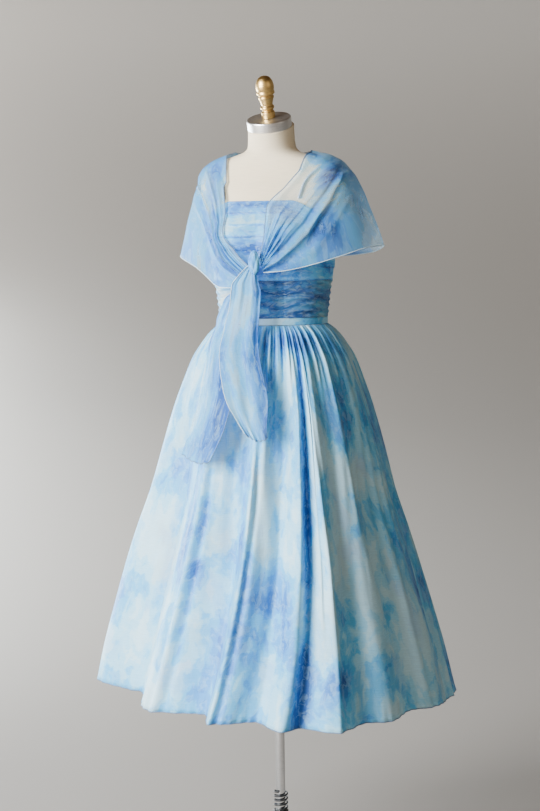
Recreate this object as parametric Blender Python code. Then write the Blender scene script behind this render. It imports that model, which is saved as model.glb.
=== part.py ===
"""A 1950s party dress with its stole, worn by a limbless dress form on a pole stand.

Metres, +Z up. The origin is the centre of the stand's underside, on the axis of the pole.
The dress faces -Y, so its left side, as it is worn, is +X. A turn is an angle round the pole's
axis: 0 at the front, 90 degrees at the left side and 180 at the back. Every cloth piece is a thin
wall, and its outer face is a radius worked out from a turn and a height.
"""

import bmesh
import bpy
import numpy as np

# ---------------------------------------------------------------- driving dimensions

PANEL_COLUMNS = 15  # of bodice, midriff and band, from side seam to side seam
SEAM_GAP = 0.0003  # left open between two pieces that are sewn or seated together
EASE = 0.0022  # between the form and the cloth that lies on it
CLOTH = 0.0015  # wall of bodice, midriff, band and stole
SKIRT_CLOTH = 0.0019  # wall of the skirt, measured level

WAIST_Z = 1.2080  # the seam between skirt and waistband
BAND_TOP_Z = 1.2225
MIDRIFF_TOP_Z = 1.2995
BODICE_TOP_Z = 1.4660  # at the front
BODICE_SIDE_DROP = 0.036  # how far the top edge dips under the arms
BODICE_BACK_DROP = 0.046

GATHERS = 45  # round the waist
HEM_RADIUS = 0.385  # the skirt's envelope at the hem
MIDRIFF_RIDGES = 6
RUCHE_HEIGHT = 0.0022
TUCK_ROOT = 0.0003  # how proud the bodice is where a tuck comes out from under the one above
TUCK_FULL = 0.0075  # over its lower edge a tuck is at its full height, and
TUCK_EDGE = 0.0012  # from here down it rolls in
BAND_PROUD = 0.0006  # the waistband over the cloth beside it
BAND_EASE = 0.0004  # the band lies closer to the form than the cloth above
SHIRRING_TURNS = (29, 90)  # to either side: vertical lines that draw up the midriff
STRAP_RADIUS = 0.0023

NECK_TILT = np.radians(20.0)
NECK_TOP_Z = 1.6200
NECK_TOP_Y = -0.0120
CAP_RADIUS = 0.0470
CAP_HEIGHT = 0.0215
TILT_START_Z = 1.570  # below it the neck's sections are level
FORM_BOTTOM_Z = 0.985

POLE_RADIUS = 0.0100
COLUMN_RADIUS = 0.0165
COLUMN_TOP_Z = 0.150
BASE_RADIUS = 0.205
SPRING_RADIUS = 0.0143
SPRING_WIRE = 0.0019
SPRING_TURNS = 4
SPRING_PITCH = 0.0098


def table(columns, *rows):
    """Rows of numbers as named columns."""
    return dict(zip(columns.split(), np.array(rows, float).T))


# Half the body's width, and its depth before and behind the pole's axis, at each height.
BODY = table(
    "z width front back",
    (0.985, 0.140, 0.098, 0.100),
    (1.000, 0.155, 0.108, 0.112),
    (1.060, 0.158, 0.110, 0.116),
    (1.130, 0.138, 0.100, 0.100),
    (1.208, 0.1120, 0.0965, 0.0760),
    (1.260, 0.1165, 0.1000, 0.0780),
    (1.310, 0.1245, 0.1040, 0.0820),
    (1.390, 0.1380, 0.1080, 0.0900),
    (1.450, 0.1490, 0.0940, 0.0980),
    (1.485, 0.1580, 0.0800, 0.1020),
    (1.510, 0.1590, 0.0670, 0.1010),
    (1.528, 0.1510, 0.0600, 0.0960),
    (1.543, 0.1330, 0.0560, 0.0890),
    (1.554, 0.1090, 0.0540, 0.0810),
    (1.562, 0.0820, 0.0530, 0.0720),
    (1.570, 0.0590, 0.0530, 0.0620),
    (1.579, 0.0510, 0.0540, 0.0520),
    (1.594, 0.0492, 0.0560, 0.0440),
    (1.6200, 0.0485, 0.0600, 0.0360),
)

# The bust's two soft rises on the front of the form.
BUST = {"turn": 30.0, "z": 1.385, "proud": 0.021, "spread": 23.0, "height": 0.045}

# The skirt's envelope, how much of the hem's folds it has at a height, and its gathers' depth.
SKIRT = table(
    "z width front back flute gather",
    (1.2077, 0.1172, 0.1020, 0.0815, 0.00, 0.0016),
    (1.1930, 0.1330, 0.1240, 0.1060, 0.05, 0.0034),
    (1.1650, 0.1530, 0.1470, 0.1320, 0.12, 0.0046),
    (1.1380, 0.1700, 0.1670, 0.1560, 0.19, 0.0046),
    (1.0900, 0.1900, 0.1890, 0.1820, 0.29, 0.0040),
    (1.0380, 0.2090, 0.2090, 0.2050, 0.39, 0.0032),
    (0.9480, 0.2350, 0.2350, 0.2350, 0.55, 0.0018),
    (0.8500, 0.2620, 0.2620, 0.2620, 0.70, 0.0008),
    (0.7740, 0.2870, 0.2870, 0.2870, 0.80, 0.0000),
    (0.7000, 0.3100, 0.3100, 0.3100, 0.87, 0.0000),
    (0.6030, 0.3390, 0.3390, 0.3390, 0.93, 0.0000),
    (0.5100, 0.3650, 0.3650, 0.3650, 0.98, 0.0000),
    (0.4250, 0.3850, 0.3850, 0.3850, 1.00, 0.0000),
)

# The hem's flutes, crest and trough in turn: the radius there and how far the hem drops.
HEM_FOLDS = table(
    "turn radius drop",
    (-80, 0.402, -0.010),
    (-57, 0.300, -0.004),
    (-36, 0.338, 0.001),
    (-14, 0.290, 0.000),
    (-5, 0.350, 0.001),
    (9, 0.316, 0.000),
    (19, 0.378, 0.004),
    (24, 0.352, 0.004),
    (35, 0.397, 0.006),
    (46, 0.366, 0.002),
    (54, 0.378, 0.004),
    (65, 0.362, -0.003),
    (79, 0.378, 0.003),
    (90, 0.370, 0.009),
    (106, 0.381, 0.011),
    (121, 0.330, 0.002),
    (135, 0.389, 0.002),
    (148, 0.318, -0.002),
    (161, 0.384, 0.003),
    (173, 0.330, 0.000),
    (186, 0.392, 0.004),
    (199, 0.312, -0.002),
    (211, 0.383, 0.002),
    (223, 0.326, 0.000),
    (237, 0.389, 0.003),
    (247, 0.312, -0.002),
    (257, 0.380, 0.002),
    (267, 0.332, 0.000),
)
# How many degrees a flute has swung round where it comes up from the hem, by its turn at the hem:
# on the dress's front they hang straight down and don't point at the pole.
SWEEP = table(
    "turn degrees",
    (-90, 0),
    (-45, 12),
    (-31, 12),
    (-5, 18),
    (8, 18),
    (24, 14),
    (36, 4),
    (50, 0),
    (90, 0),
)
SWEEP_HEIGHT = 0.45  # in which a flute makes most of its swing

# A strap's way over the shoulder, from the front of the bodice to its back.
STRAP = table(
    "along turn z",
    (0.00, 47, 1.4690),
    (0.15, 54, 1.4950),
    (0.30, 66, 1.5230),
    (0.42, 82, 1.5430),
    (0.52, 100, 1.5470),
    (0.64, 120, 1.5360),
    (0.78, 138, 1.5000),
    (0.90, 146, 1.4550),
    (1.00, 149, 1.4235),
)
STRAP_LIFT = 0.0010

# The bodice's tucks at the front centre, each lying over the next one down.
TUCKS = table(
    "top bottom proud",
    (1.4660, 1.4400, 0.0016),
    (1.4400, 1.4155, 0.0016),
    (1.4155, 1.3910, 0.0018),
    (1.3910, 1.3640, 0.0018),
    (1.3640, 1.3330, 0.0018),
    (1.3330, 1.2998, 0.0014),
)

# The stole's sections from the centre of the back to the knot: its neck edge, the shoulder line
# that it bends over, and its hem, each as a turn, a radius and a height.
STOLE_COLUMNS = "along neck_turn neck_r neck_z over_turn over_r over_z hem_turn hem_r hem_z"
STOLE_LEFT = table(
    STOLE_COLUMNS,
    (0, 180, 0.080, 1.558, 180, 0.118, 1.540, 180, 0.150, 1.346),
    (1, 150, 0.081, 1.562, 150, 0.150, 1.548, 152, 0.182, 1.347),
    (2, 120, 0.082, 1.568, 121, 0.169, 1.556, 122, 0.216, 1.355),
    (3, 94, 0.086, 1.571, 96, 0.173, 1.558, 97, 0.237, 1.371),
    (4, 76, 0.092, 1.562, 78, 0.171, 1.548, 80, 0.222, 1.367),
    (5, 57, 0.097, 1.534, 60, 0.157, 1.520, 66, 0.198, 1.353),
    (6, 34.5, 0.098, 1.497, 42, 0.142, 1.480, 52, 0.178, 1.339),
    (7, 11.5, 0.110, 1.452, 27, 0.140, 1.435, 38, 0.162, 1.328),
    (8, 9.5, 0.130, 1.394, 15, 0.147, 1.385, 23, 0.153, 1.321),
    (9, 7, 0.148, 1.347, 8, 0.152, 1.334, 10, 0.149, 1.319),
)
STOLE_RIGHT = table(
    STOLE_COLUMNS,
    (0, 180, 0.080, 1.558, 180, 0.118, 1.540, 180, 0.150, 1.346),
    (1, 150, 0.081, 1.562, 150, 0.150, 1.548, 152, 0.180, 1.346),
    (2, 120, 0.082, 1.568, 121, 0.164, 1.553, 122, 0.206, 1.350),
    (3, 96, 0.086, 1.570, 97, 0.163, 1.550, 97, 0.215, 1.356),
    (4, 78, 0.093, 1.557, 82, 0.161, 1.540, 84, 0.203, 1.350),
    (5, 63, 0.098, 1.535, 66, 0.155, 1.516, 70, 0.178, 1.338),
    (6, 48, 0.106, 1.493, 52, 0.148, 1.471, 57, 0.163, 1.325),
    (7, 37, 0.116, 1.448, 40, 0.147, 1.420, 44, 0.153, 1.305),
    (8, 26, 0.132, 1.388, 28, 0.149, 1.368, 30, 0.150, 1.289),
    (9, 1, 0.149, 1.330, 5, 0.152, 1.314, 10, 0.149, 1.287),
)
STOLE_BEND = 2.0  # how closely the cloth follows the shoulder line
STOLE_LIFT = 0.0062  # over the top of the shoulders and the straps on them
STOLE_STAND_OFF = 0.0045  # before and behind, where it lies over the bodice and the straps
SHOULDER_FOOT_Z = 1.500  # from here up the form narrows, so the stole lies on top of it
SHOULDER_TOP_Z = 1.600
TWIST = 0.5  # radians that the folds turn for each step along the stole
STOLE_SPLIT = 2.0  # along the stole: where the back stretch ends, behind the shoulder
STOLE_FOLDS = 5
STOLE_FOLD_DEPTH = table(
    "along depth", (0, 0.0010), (2, 0.0016), (4, 0.0024), (6, 0.0036), (8, 0.0034), (9, 0.0024)
)

KNOT = {"x": 0.010, "y": -0.1596, "z": 1.3390, "wide": 0.0135, "deep": 0.0100, "tall": 0.0250}
KNOT_RIDGES = 0.09  # of its size, where the wraps wind round it

# The stole's two ends, lying over midriff and skirt: the turns of their edges and the radius.
TAIL_SHORT = table(
    "z from_turn to_turn radius",
    (1.3122, -13, 6, 0.1580),
    (1.298, -15, 6, 0.1553),
    (1.280, -17, 7, 0.1530),
    (1.245, -21, 6, 0.1475),
    (1.205, -24, 6, 0.1500),
    (1.166, -22, 8, 0.1690),
    (1.110, -16, 11, 0.1970),
    (1.060, -10, 13, 0.2170),
    (1.020, -2, 13, 0.2305),
    (0.996, 3, 14, 0.2385),
)
TAIL_LONG = table(
    "z from_turn to_turn radius",
    (1.2862, -22, -3, 0.1468),
    (1.250, -33, -6, 0.1400),
    (1.215, -43, -11, 0.1380),
    (1.180, -42, -12, 0.1530),
    (1.130, -35, -10, 0.1790),
    (1.070, -31, -8, 0.2050),
    (1.010, -32, -9, 0.2260),
    (0.947, -33, -14, 0.2450),
)
TAIL_FOLDS = 3
TAIL_FOLD_DEPTH = 0.0030
TAIL_SLANT = 0.014  # how far the hems of the two ends dip towards the middle

FINIAL_PROFILE = table(
    "radius z",
    (0.0140, 0.0000),
    (0.0140, 0.0140),
    (0.0112, 0.0170),
    (0.0145, 0.0205),
    (0.0145, 0.0240),
    (0.0122, 0.0275),
    (0.0142, 0.0370),
    (0.0166, 0.0440),
    (0.0150, 0.0470),
    (0.0190, 0.0520),
    (0.0190, 0.0560),
    (0.0176, 0.0585),
    (0.0191, 0.0635),
    (0.0182, 0.0720),
    (0.0140, 0.0820),
    (0.0065, 0.0885),
)
CAP_PROFILE = table(
    "radius z",
    (CAP_RADIUS - 0.0006, 0.0000),
    (CAP_RADIUS, 0.0010),
    (CAP_RADIUS, CAP_HEIGHT - 0.0030),
    (CAP_RADIUS - 0.0010, CAP_HEIGHT - 0.0008),
    (CAP_RADIUS - 0.0040, CAP_HEIGHT),
)
BASE_PROFILE = table(
    "radius z",
    (BASE_RADIUS - 0.004, 0.000),
    (BASE_RADIUS, 0.004),
    (BASE_RADIUS, 0.010),
    (BASE_RADIUS - 0.008, 0.016),
    (0.120, 0.024),
    (0.050, 0.034),
    (0.030, 0.046),
)

# Each finish's colour, roughness and metallic value.
FINISHES = {
    "linen": ((0.80, 0.75, 0.66), 0.85, 0.0),
    "brushed steel": ((0.55, 0.54, 0.52), 0.35, 1.0),
    "brass": ((0.62, 0.45, 0.20), 0.30, 1.0),
    "chrome": ((0.80, 0.81, 0.82), 0.12, 1.0),
    "black paint": ((0.02, 0.02, 0.02), 0.45, 0.0),
    "pale print": ((0.70, 0.82, 0.92), 0.75, 0.0),
    "blue print": ((0.36, 0.56, 0.82), 0.75, 0.0),
    "white cloth": ((0.80, 0.86, 0.90), 0.75, 0.0),
}



# ---------------------------------------------------------------- curves through the tables


def follow(rows, column, at, key="z"):
    """A smooth curve through a table's column that never overshoots its rows."""
    order = np.argsort(rows[key])
    x, y = rows[key][order], rows[column][order]
    rise = np.diff(y) / np.diff(x)
    product = rise[:-1] * rise[1:]
    shared = 2 * product / np.where(product > 0, rise[:-1] + rise[1:], 1)
    slope = np.concatenate([rise[:1], np.where(product > 0, shared, 0), rise[-1:]])
    at = np.clip(at, x[0], x[-1])
    i = np.clip(np.searchsorted(x, at, side="right") - 1, 0, len(x) - 2)
    step = x[i + 1] - x[i]
    t = (at - x[i]) / step
    ends = y[i] * (1 + 2 * t) * (1 - t) ** 2 + y[i + 1] * t * t * (3 - 2 * t)
    return ends + step * t * (1 - t) * (slope[i] * (1 - t) - slope[i + 1] * t)


def hem_fold(column, turn):
    """The hem table's column at a turn, swinging from crest to trough and back round the hem."""
    turns = np.append(HEM_FOLDS["turn"], HEM_FOLDS["turn"][0] + 360)
    values = np.append(HEM_FOLDS[column], HEM_FOLDS[column][0])
    degrees = (np.degrees(turn) - turns[0]) % 360 + turns[0]
    i = np.clip(np.searchsorted(turns, degrees, side="right") - 1, 0, len(turns) - 2)
    part = (degrees - turns[i]) / (turns[i + 1] - turns[i])
    return values[i] + (values[i + 1] - values[i]) * (1 - np.cos(np.pi * part)) / 2


def oval(rows, z, turn):
    """Radius of a level section: half-ellipses that share a width, the front and back ones apart."""
    width = follow(rows, "width", z)
    depth = np.where(np.cos(turn) > 0, follow(rows, "front", z), follow(rows, "back", z))
    return 1 / np.sqrt((np.sin(turn) / width) ** 2 + (np.cos(turn) / depth) ** 2)


def signed_degrees(turn):
    """A turn in degrees from -180 to 180, 0 at the front."""
    return (np.degrees(turn) + 180) % 360 - 180


def body_radius(z, turn):
    """The form's surface: its oval sections with the bust's two rises."""
    across = np.exp(-(((np.abs(signed_degrees(turn)) - BUST["turn"]) / BUST["spread"]) ** 2))
    up = np.exp(-(((z - BUST["z"]) / BUST["height"]) ** 2))
    return oval(BODY, z, turn) + BUST["proud"] * across * up


def gather_phase(turn):
    """Counts the gathers round the waist, a little unevenly."""
    return GATHERS * turn + 0.9 * np.sin(3 * turn) + 0.6 * np.sin(5 * turn + 1.0)


def swept(z, hem_turn):
    """The turn, at a height, of the flute that meets the hem at hem_turn."""
    rise = 1 - np.exp(-(z - SKIRT["z"][-1]) / SWEEP_HEIGHT)
    degrees = follow(SWEEP, "degrees", signed_degrees(hem_turn), key="turn")
    return hem_turn + np.radians(degrees) * rise


def skirt_points(z, hem_turn):
    """The skirt's outer face: its envelope, sunk between flutes, with gathers at the top."""
    turn = swept(z, hem_turn)
    flute = follow(SKIRT, "flute", z)
    sunk = (HEM_RADIUS - hem_fold("radius", hem_turn)) * flute
    uneven = 1 + 0.35 * np.sin(11 * hem_turn + 0.5) * np.sin(4 * hem_turn)
    gather = follow(SKIRT, "gather", z) * uneven * np.cos(gather_phase(hem_turn))
    drop = hem_fold("drop", hem_turn) * flute**2
    return cylinder(oval(SKIRT, z, turn) - sunk + gather, turn, z - drop)


def cylinder(radius, turn, z):
    """Points from radius, turn and height."""
    parts = np.broadcast_arrays(radius * np.sin(turn), -radius * np.cos(turn), z)
    return np.stack(parts, axis=-1)


# ---------------------------------------------------------------- making solids


def material(name, colour, roughness, metallic):
    """A plain Principled material."""
    made = bpy.data.materials.new(name)
    made.use_nodes = True
    shader = made.node_tree.nodes["Principled BSDF"]
    shader.inputs["Base Color"].default_value = (*colour, 1.0)
    shader.inputs["Roughness"].default_value = roughness
    shader.inputs["Metallic"].default_value = metallic
    made.diffuse_color = (*colour, 1.0)
    return made


def solid(name, points, faces, finish, sharp_degrees=35):
    """One closed mesh object with its faces pointing out, in a material of its own."""
    mesh = bpy.data.meshes.new(name)
    mesh.from_pydata([tuple(p) for p in points], [], faces)
    shape = bmesh.new()
    shape.from_mesh(mesh)
    bmesh.ops.recalc_face_normals(shape, faces=shape.faces)
    if shape.calc_volume(signed=True) < 0:
        bmesh.ops.reverse_faces(shape, faces=shape.faces)
    shape.to_mesh(mesh)
    shape.free()
    mesh.shade_smooth()
    mesh.set_sharp_from_angle(angle=np.radians(sharp_degrees))
    mesh.materials.append(material(name, *FINISHES[finish]))
    made = bpy.data.objects.new(name, mesh)
    bpy.context.scene.collection.objects.link(made)
    return made


def grid_faces(rows, columns, first=0, round_columns=False):
    """Quads of a grid of points that are numbered row by row."""
    across = columns if round_columns else columns - 1
    faces = []
    for row in range(rows - 1):
        for column in range(across):
            a = first + row * columns + column
            b = first + row * columns + (column + 1) % columns
            faces.append((a, b, b + columns, a + columns))
    return faces


def wall(name, outer, inner, finish):
    """A cloth panel: its outer and inner grids, which have the same columns, and its four rims."""
    rows, columns = outer.shape[:2]
    inner_rows = inner.shape[0]
    first = rows * columns
    faces = grid_faces(rows, columns)
    faces += [face[::-1] for face in grid_faces(inner_rows, columns, first)]
    top, bottom = (rows - 1) * columns, first + (inner_rows - 1) * columns
    for column in range(columns - 1):
        faces.append((column, first + column, first + column + 1, column + 1))
        faces.append((top + column, top + column + 1, bottom + column + 1, bottom + column))
    for side in (0, columns - 1):
        if rows == inner_rows:
            for row in range(rows - 1):
                a, b = row * columns + side, first + row * columns + side
                faces.append((a, a + columns, b + columns, b))
        else:
            down = [row * columns + side for row in range(rows)]
            back = [first + row * columns + side for row in reversed(range(inner_rows))]
            faces.append(tuple(down + back))
    return solid(name, np.concatenate([outer.reshape(-1, 3), inner.reshape(-1, 3)]), faces, finish)


def turned(name, profile, sides, finish, sharp_degrees=35):
    """A turned solid: the profile's radii and heights, carried round Z and closed at both ends."""
    turn = np.linspace(0, 2 * np.pi, sides, endpoint=False)
    points = cylinder(profile["radius"][:, None], turn, profile["z"][:, None])
    rows = len(profile["z"])
    faces = grid_faces(rows, sides, round_columns=True)
    faces.append(tuple(reversed(range(sides))))
    faces.append(tuple(range((rows - 1) * sides, rows * sides)))
    return solid(name, points.reshape(-1, 3), faces, finish, sharp_degrees)


def tube(name, path, radius, sides, finish):
    """A round tube along a path, closed at both ends."""
    along = np.gradient(path, axis=0)
    along /= np.linalg.norm(along, axis=1, keepdims=True)
    side = np.cross(along, (0.0, 0.0, 1.0))
    side /= np.linalg.norm(side, axis=1, keepdims=True)
    up = np.cross(side, along)
    turn = np.linspace(0, 2 * np.pi, sides, endpoint=False)[:, None]
    rings = path[:, None] + radius * (np.cos(turn) * side[:, None] + np.sin(turn) * up[:, None])
    faces = grid_faces(len(path), sides, round_columns=True)
    faces.append(tuple(reversed(range(sides))))
    faces.append(tuple(range((len(path) - 1) * sides, len(path) * sides)))
    return solid(name, rings.reshape(-1, 3), faces, finish, 60)


def open_seam(points, half):
    """Moves a panel's two side edges off the seam's plane, so that half a seam gap is left."""
    points[:, 0, 1] += half * SEAM_GAP / 2
    points[:, -1, 1] += half * SEAM_GAP / 2
    return points


def half_turns(half, columns):
    """Turns of the columns of a front (-1) or back (1) panel, from side seam to side seam."""
    middle = 0 if half < 0 else np.pi
    return middle + np.linspace(-np.pi / 2, np.pi / 2, columns)


# ---------------------------------------------------------------- the dress


def make_skirt(name, half, finish):
    """Half the skirt, its columns on the crests, troughs and sides of the gathers."""
    middle = 0 if half < 0 else np.pi
    fine = middle + np.linspace(-np.pi / 2, np.pi / 2, 4001)
    phase = gather_phase(fine)
    quarters = np.arange(np.ceil(phase[0] / (np.pi / 2)), np.floor(phase[-1] / (np.pi / 2)) + 1)
    turn = np.interp(quarters * np.pi / 2, phase, fine)
    beside = np.radians(0.6)
    turn = turn[(turn > fine[0] + beside) & (turn < fine[-1] - beside)]
    turn = np.concatenate([fine[:1], turn, fine[-1:]])
    top, hem = SKIRT["z"][0], SKIRT["z"][-1]
    heights = np.array([top, 1.192, 1.162, 1.110, 1.030, 0.910, 0.750, 0.590, hem])
    z = heights[:, None]
    outer = skirt_points(z, turn[None])
    inner = outer - cylinder(SKIRT_CLOTH, swept(z, turn[None]), 0)
    return wall(name, open_seam(outer, half), open_seam(inner, half), finish)


def bodice_top(turn):
    """Height of the bodice's top edge: level in front, dipping under the arms and at the back."""
    side, back = BODICE_SIDE_DROP, BODICE_BACK_DROP
    rows = table("turn drop", (0, 0), (38, 0), (72, side), (110, back), (180, back))
    return BODICE_TOP_Z - follow(rows, "drop", np.abs(signed_degrees(turn)), key="turn")


def make_bodice(name, half, finish):
    """Half the bodice: each tuck grows proud towards its lower edge and steps back to the next."""
    turn = half_turns(half, PANEL_COLUMNS)[None]
    foot = MIDRIFF_TOP_Z + SEAM_GAP
    level, proud = [], []
    for top, bottom, depth in zip(TUCKS["top"], TUCKS["bottom"], TUCKS["proud"]):
        level += [top - SEAM_GAP, bottom + TUCK_FULL, bottom + TUCK_EDGE]
        proud += [TUCK_ROOT, depth, depth * 0.8]
    level[0] = BODICE_TOP_Z
    level = np.array(level + [foot])[:, None]
    proud = np.array(proud + [TUCK_ROOT])[:, None]
    stretch = (bodice_top(turn) - foot) / (BODICE_TOP_Z - foot)
    z = foot + (level - foot) * stretch
    outer = cylinder(body_radius(z, turn) + EASE + CLOTH + proud, turn, z)
    plain = np.linspace(BODICE_TOP_Z, foot, 14)[:, None]
    z = foot + (plain - foot) * stretch
    inner = cylinder(body_radius(z, turn) + EASE, turn, z)
    return wall(name, open_seam(outer, half), open_seam(inner, half), finish)


def ruching(z, turn):
    """Height of the midriff's soft ridges, which close up at the shirring lines."""
    rise = (z - BAND_TOP_Z) / (MIDRIFF_TOP_Z - BAND_TOP_Z)
    wave = 0.5 + 0.5 * np.cos(2 * np.pi * MIDRIFF_RIDGES * (rise + 0.05 * np.sin(5 * turn)))
    degrees = np.abs(signed_degrees(turn))
    near = np.min([np.abs(degrees - line) for line in SHIRRING_TURNS], axis=0)
    drawn = 0.45 + 0.55 * np.clip(near / 12, 0, 1)
    return RUCHE_HEIGHT * wave * drawn


def make_midriff(name, half, finish):
    """Half the midriff, ruched on its outer face and plain inside."""
    turn = half_turns(half, PANEL_COLUMNS)[None]
    top, foot = MIDRIFF_TOP_Z, BAND_TOP_Z + SEAM_GAP
    z = np.linspace(top, foot, 2 * MIDRIFF_RIDGES + 1)[:, None]
    outer = cylinder(body_radius(z, turn) + EASE + CLOTH + ruching(z, turn), turn, z)
    z = np.linspace(top, foot, 3)[:, None]
    inner = cylinder(body_radius(z, turn) + EASE, turn, z)
    return wall(name, open_seam(outer, half), open_seam(inner, half), finish)


def make_waistband(name, half, finish):
    """Half the waistband, a flat band that lies close on the form."""
    turn = half_turns(half, PANEL_COLUMNS)[None]
    z = np.array([BAND_TOP_Z, WAIST_Z])[:, None]
    outer = cylinder(body_radius(z, turn) + EASE + CLOTH + BAND_PROUD, turn, z)
    inner = cylinder(body_radius(z, turn) + BAND_EASE, turn, z)
    return wall(name, open_seam(outer, half), open_seam(inner, half), finish)


def off_body(z, turn, away):
    """Points at a distance from the form, measured along its surface's normal."""
    step = 0.002
    round_it = surface_point(z, turn + step) - surface_point(z, turn - step)
    up = surface_point(z + step, turn) - surface_point(z - step, turn)
    normal = np.cross(round_it, up)
    return surface_point(z, turn) + away * normal / np.linalg.norm(normal, axis=-1, keepdims=True)


def surface_point(z, turn):
    """A point of the form's surface."""
    return cylinder(body_radius(z, turn), turn, z)


def make_strap(name, side, finish):
    """A rolled strap from the bodice's top edge over the shoulder to the back of the bodice."""
    part = np.linspace(0, 1, 17)
    turn = np.radians(follow(STRAP, "turn", part, key="along"))
    z = follow(STRAP, "z", part, key="along")
    path = off_body(z, turn, STRAP_RADIUS + STRAP_LIFT) * (side, 1, 1)
    return tube(name, path, STRAP_RADIUS, 6, finish)


# ---------------------------------------------------------------- the stole


def stole_points(rows, side, along, across):
    """The stole from its neck edge (across 0) to its hem (across 1): a conic arc that bends over
    the shoulder line, kept off the form, with folds that run from the knot over the shoulder.
    A fold moves the neck edge up and down, and the cloth below the shoulder line in and out."""

    def at(column):
        return follow(rows, column, along, key="along")

    start, bend, end = (1 - across) ** 2, 2 * STOLE_BEND * across * (1 - across), across**2
    total = start + bend + end

    def between(what):
        return (start * at("neck_" + what) + bend * at("over_" + what) + end * at("hem_" + what)) / total

    turn, radius, z = side * np.radians(between("turn")), between("r"), between("z")
    depth = follow(STOLE_FOLD_DEPTH, "depth", along, key="along")
    fold = depth * np.cos(2 * np.pi * STOLE_FOLDS * across + TWIST * along * side)
    clear = EASE + CLOTH + STOLE_STAND_OFF + depth
    on_body = np.where(z < SHOULDER_FOOT_Z, body_radius(z, turn) + clear, 0)
    down = np.clip(2.2 * across, 0, 1) * np.pi / 2
    radius = np.maximum(radius, on_body) + fold * np.sin(down)
    z = np.maximum(z + fold * np.cos(down), top_of_body(radius - STOLE_LIFT, turn) + STOLE_LIFT)
    return cylinder(radius, turn, z)


def top_of_body(radius, turn):
    """Height of the form's shoulders above a place in plan, or zero beyond them."""
    levels = np.linspace(SHOULDER_FOOT_Z, SHOULDER_TOP_Z, 101)
    reach = body_radius(levels[:, None, None], np.broadcast_to(turn, radius.shape)[None])
    return np.where(reach > radius, levels[:, None, None], 0).max(axis=0)


def part_seam(points, first, last):
    """Moves a stretch's end rows back by half a seam gap."""
    for end, inside, moved in ((0, 1, first), (-1, -2, last)):
        if moved:
            along = points[inside] - points[end]
            along /= np.linalg.norm(along, axis=1, keepdims=True)
            points[end] += along * SEAM_GAP / 2
    return points


def make_stole(name, points, finish):
    """A stretch of the stole: the grid moved out by the cloth's thickness along its normals,
    which point away from the middle of the form's chest."""
    normal = np.cross(np.gradient(points, axis=0), np.gradient(points, axis=1))
    normal /= np.linalg.norm(normal, axis=2, keepdims=True)
    chest = (0, 0, points[..., 2].mean() - 0.1)
    if (normal * (points - chest)).sum() < 0:
        normal = -normal
    return wall(name, points + CLOTH * normal, points, finish)


def make_knot(name, finish):
    """The knot: a rounded bundle with the wraps of cloth raised round it."""
    rows, sides = 10, 16
    polar = np.linspace(0.0, np.pi, rows)[1:-1, None]
    turn = np.linspace(0, 2 * np.pi, sides, endpoint=False)[None]
    wrap = 1 + KNOT_RIDGES * (np.cos(4 * polar + turn) + 0.5 * np.cos(3 * turn))
    x = KNOT["x"] + KNOT["wide"] * np.sin(polar) * np.cos(turn) * wrap
    y = KNOT["y"] + KNOT["deep"] * np.sin(polar) * np.sin(turn) * wrap
    z = KNOT["z"] + KNOT["tall"] * np.cos(polar) * wrap
    points = np.stack(np.broadcast_arrays(x, y, z), axis=-1)
    faces = grid_faces(rows - 2, sides, round_columns=True)
    faces.append(tuple(reversed(range(sides))))
    faces.append(tuple(range((rows - 3) * sides, (rows - 2) * sides)))
    return solid(name, points.reshape(-1, 3), faces, finish, 70)


def make_tail(name, rows, phase, finish):
    """A hanging end of the stole, pleated where it leaves the knot and freer at its hem."""
    z = np.linspace(rows["z"][0], rows["z"][-1], 14)[:, None]
    part = np.linspace(0, 1, 12)[None]
    start = np.radians(follow(rows, "from_turn", z))
    end = np.radians(follow(rows, "to_turn", z))
    fold = TAIL_FOLD_DEPTH * np.cos(2 * np.pi * TAIL_FOLDS * part + phase)
    radius = follow(rows, "radius", z) + fold
    fall = (rows["z"][0] - z) / (rows["z"][0] - rows["z"][-1])
    slant = TAIL_SLANT * np.sin(0.8 * np.pi * part) * fall**3
    inner = cylinder(radius, start + (end - start) * part, z - slant)
    outer = cylinder(radius + CLOTH, start + (end - start) * part, z - slant)
    return wall(name, outer, inner, finish)


# ---------------------------------------------------------------- form and stand


def make_torso(name, finish):
    """The form's body from the hips to the slanted top of the neck."""
    heights = np.array(
        [0.985, 1.0, 1.08, 1.14, 1.175, WAIST_Z, BAND_TOP_Z, 1.26, 1.30, 1.335, 1.36, 1.385, 1.41,
         1.430, 1.450, 1.470, 1.495, 1.515, 1.530, 1.543, 1.553, 1.561, 1.569, 1.582, NECK_TOP_Z]
    )
    z = heights[:, None]
    turn = np.linspace(0, 2 * np.pi, 2 * (PANEL_COLUMNS - 1), endpoint=False)[None]
    points = cylinder(body_radius(z, turn), turn, z)
    tilted = np.clip((z - TILT_START_Z) / (NECK_TOP_Z - TILT_START_Z), 0, 1)
    points[..., 2] += tilted * np.tan(NECK_TILT) * (points[..., 1] - NECK_TOP_Y)
    rows, sides = points.shape[:2]
    faces = grid_faces(rows, sides, round_columns=True)
    faces.append(tuple(reversed(range(sides))))
    faces.append(tuple(range((rows - 1) * sides, rows * sides)))
    return solid(name, points.reshape(-1, 3), faces, finish, 40)


def make_spring(name, finish):
    """The coil on the pole: a round wire wound in a rising screw line."""
    turn = np.linspace(0, 2 * np.pi * SPRING_TURNS, 12 * SPRING_TURNS + 1)
    foot = COLUMN_TOP_Z + SEAM_GAP + SPRING_WIRE
    z = foot + SPRING_PITCH * turn / (2 * np.pi)
    return tube(name, cylinder(SPRING_RADIUS, turn, z), SPRING_WIRE, 5, finish)


def straight(radius, low, high):
    """The profile of a plain rod."""
    return table("radius z", (radius, low), (radius, high))


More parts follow.
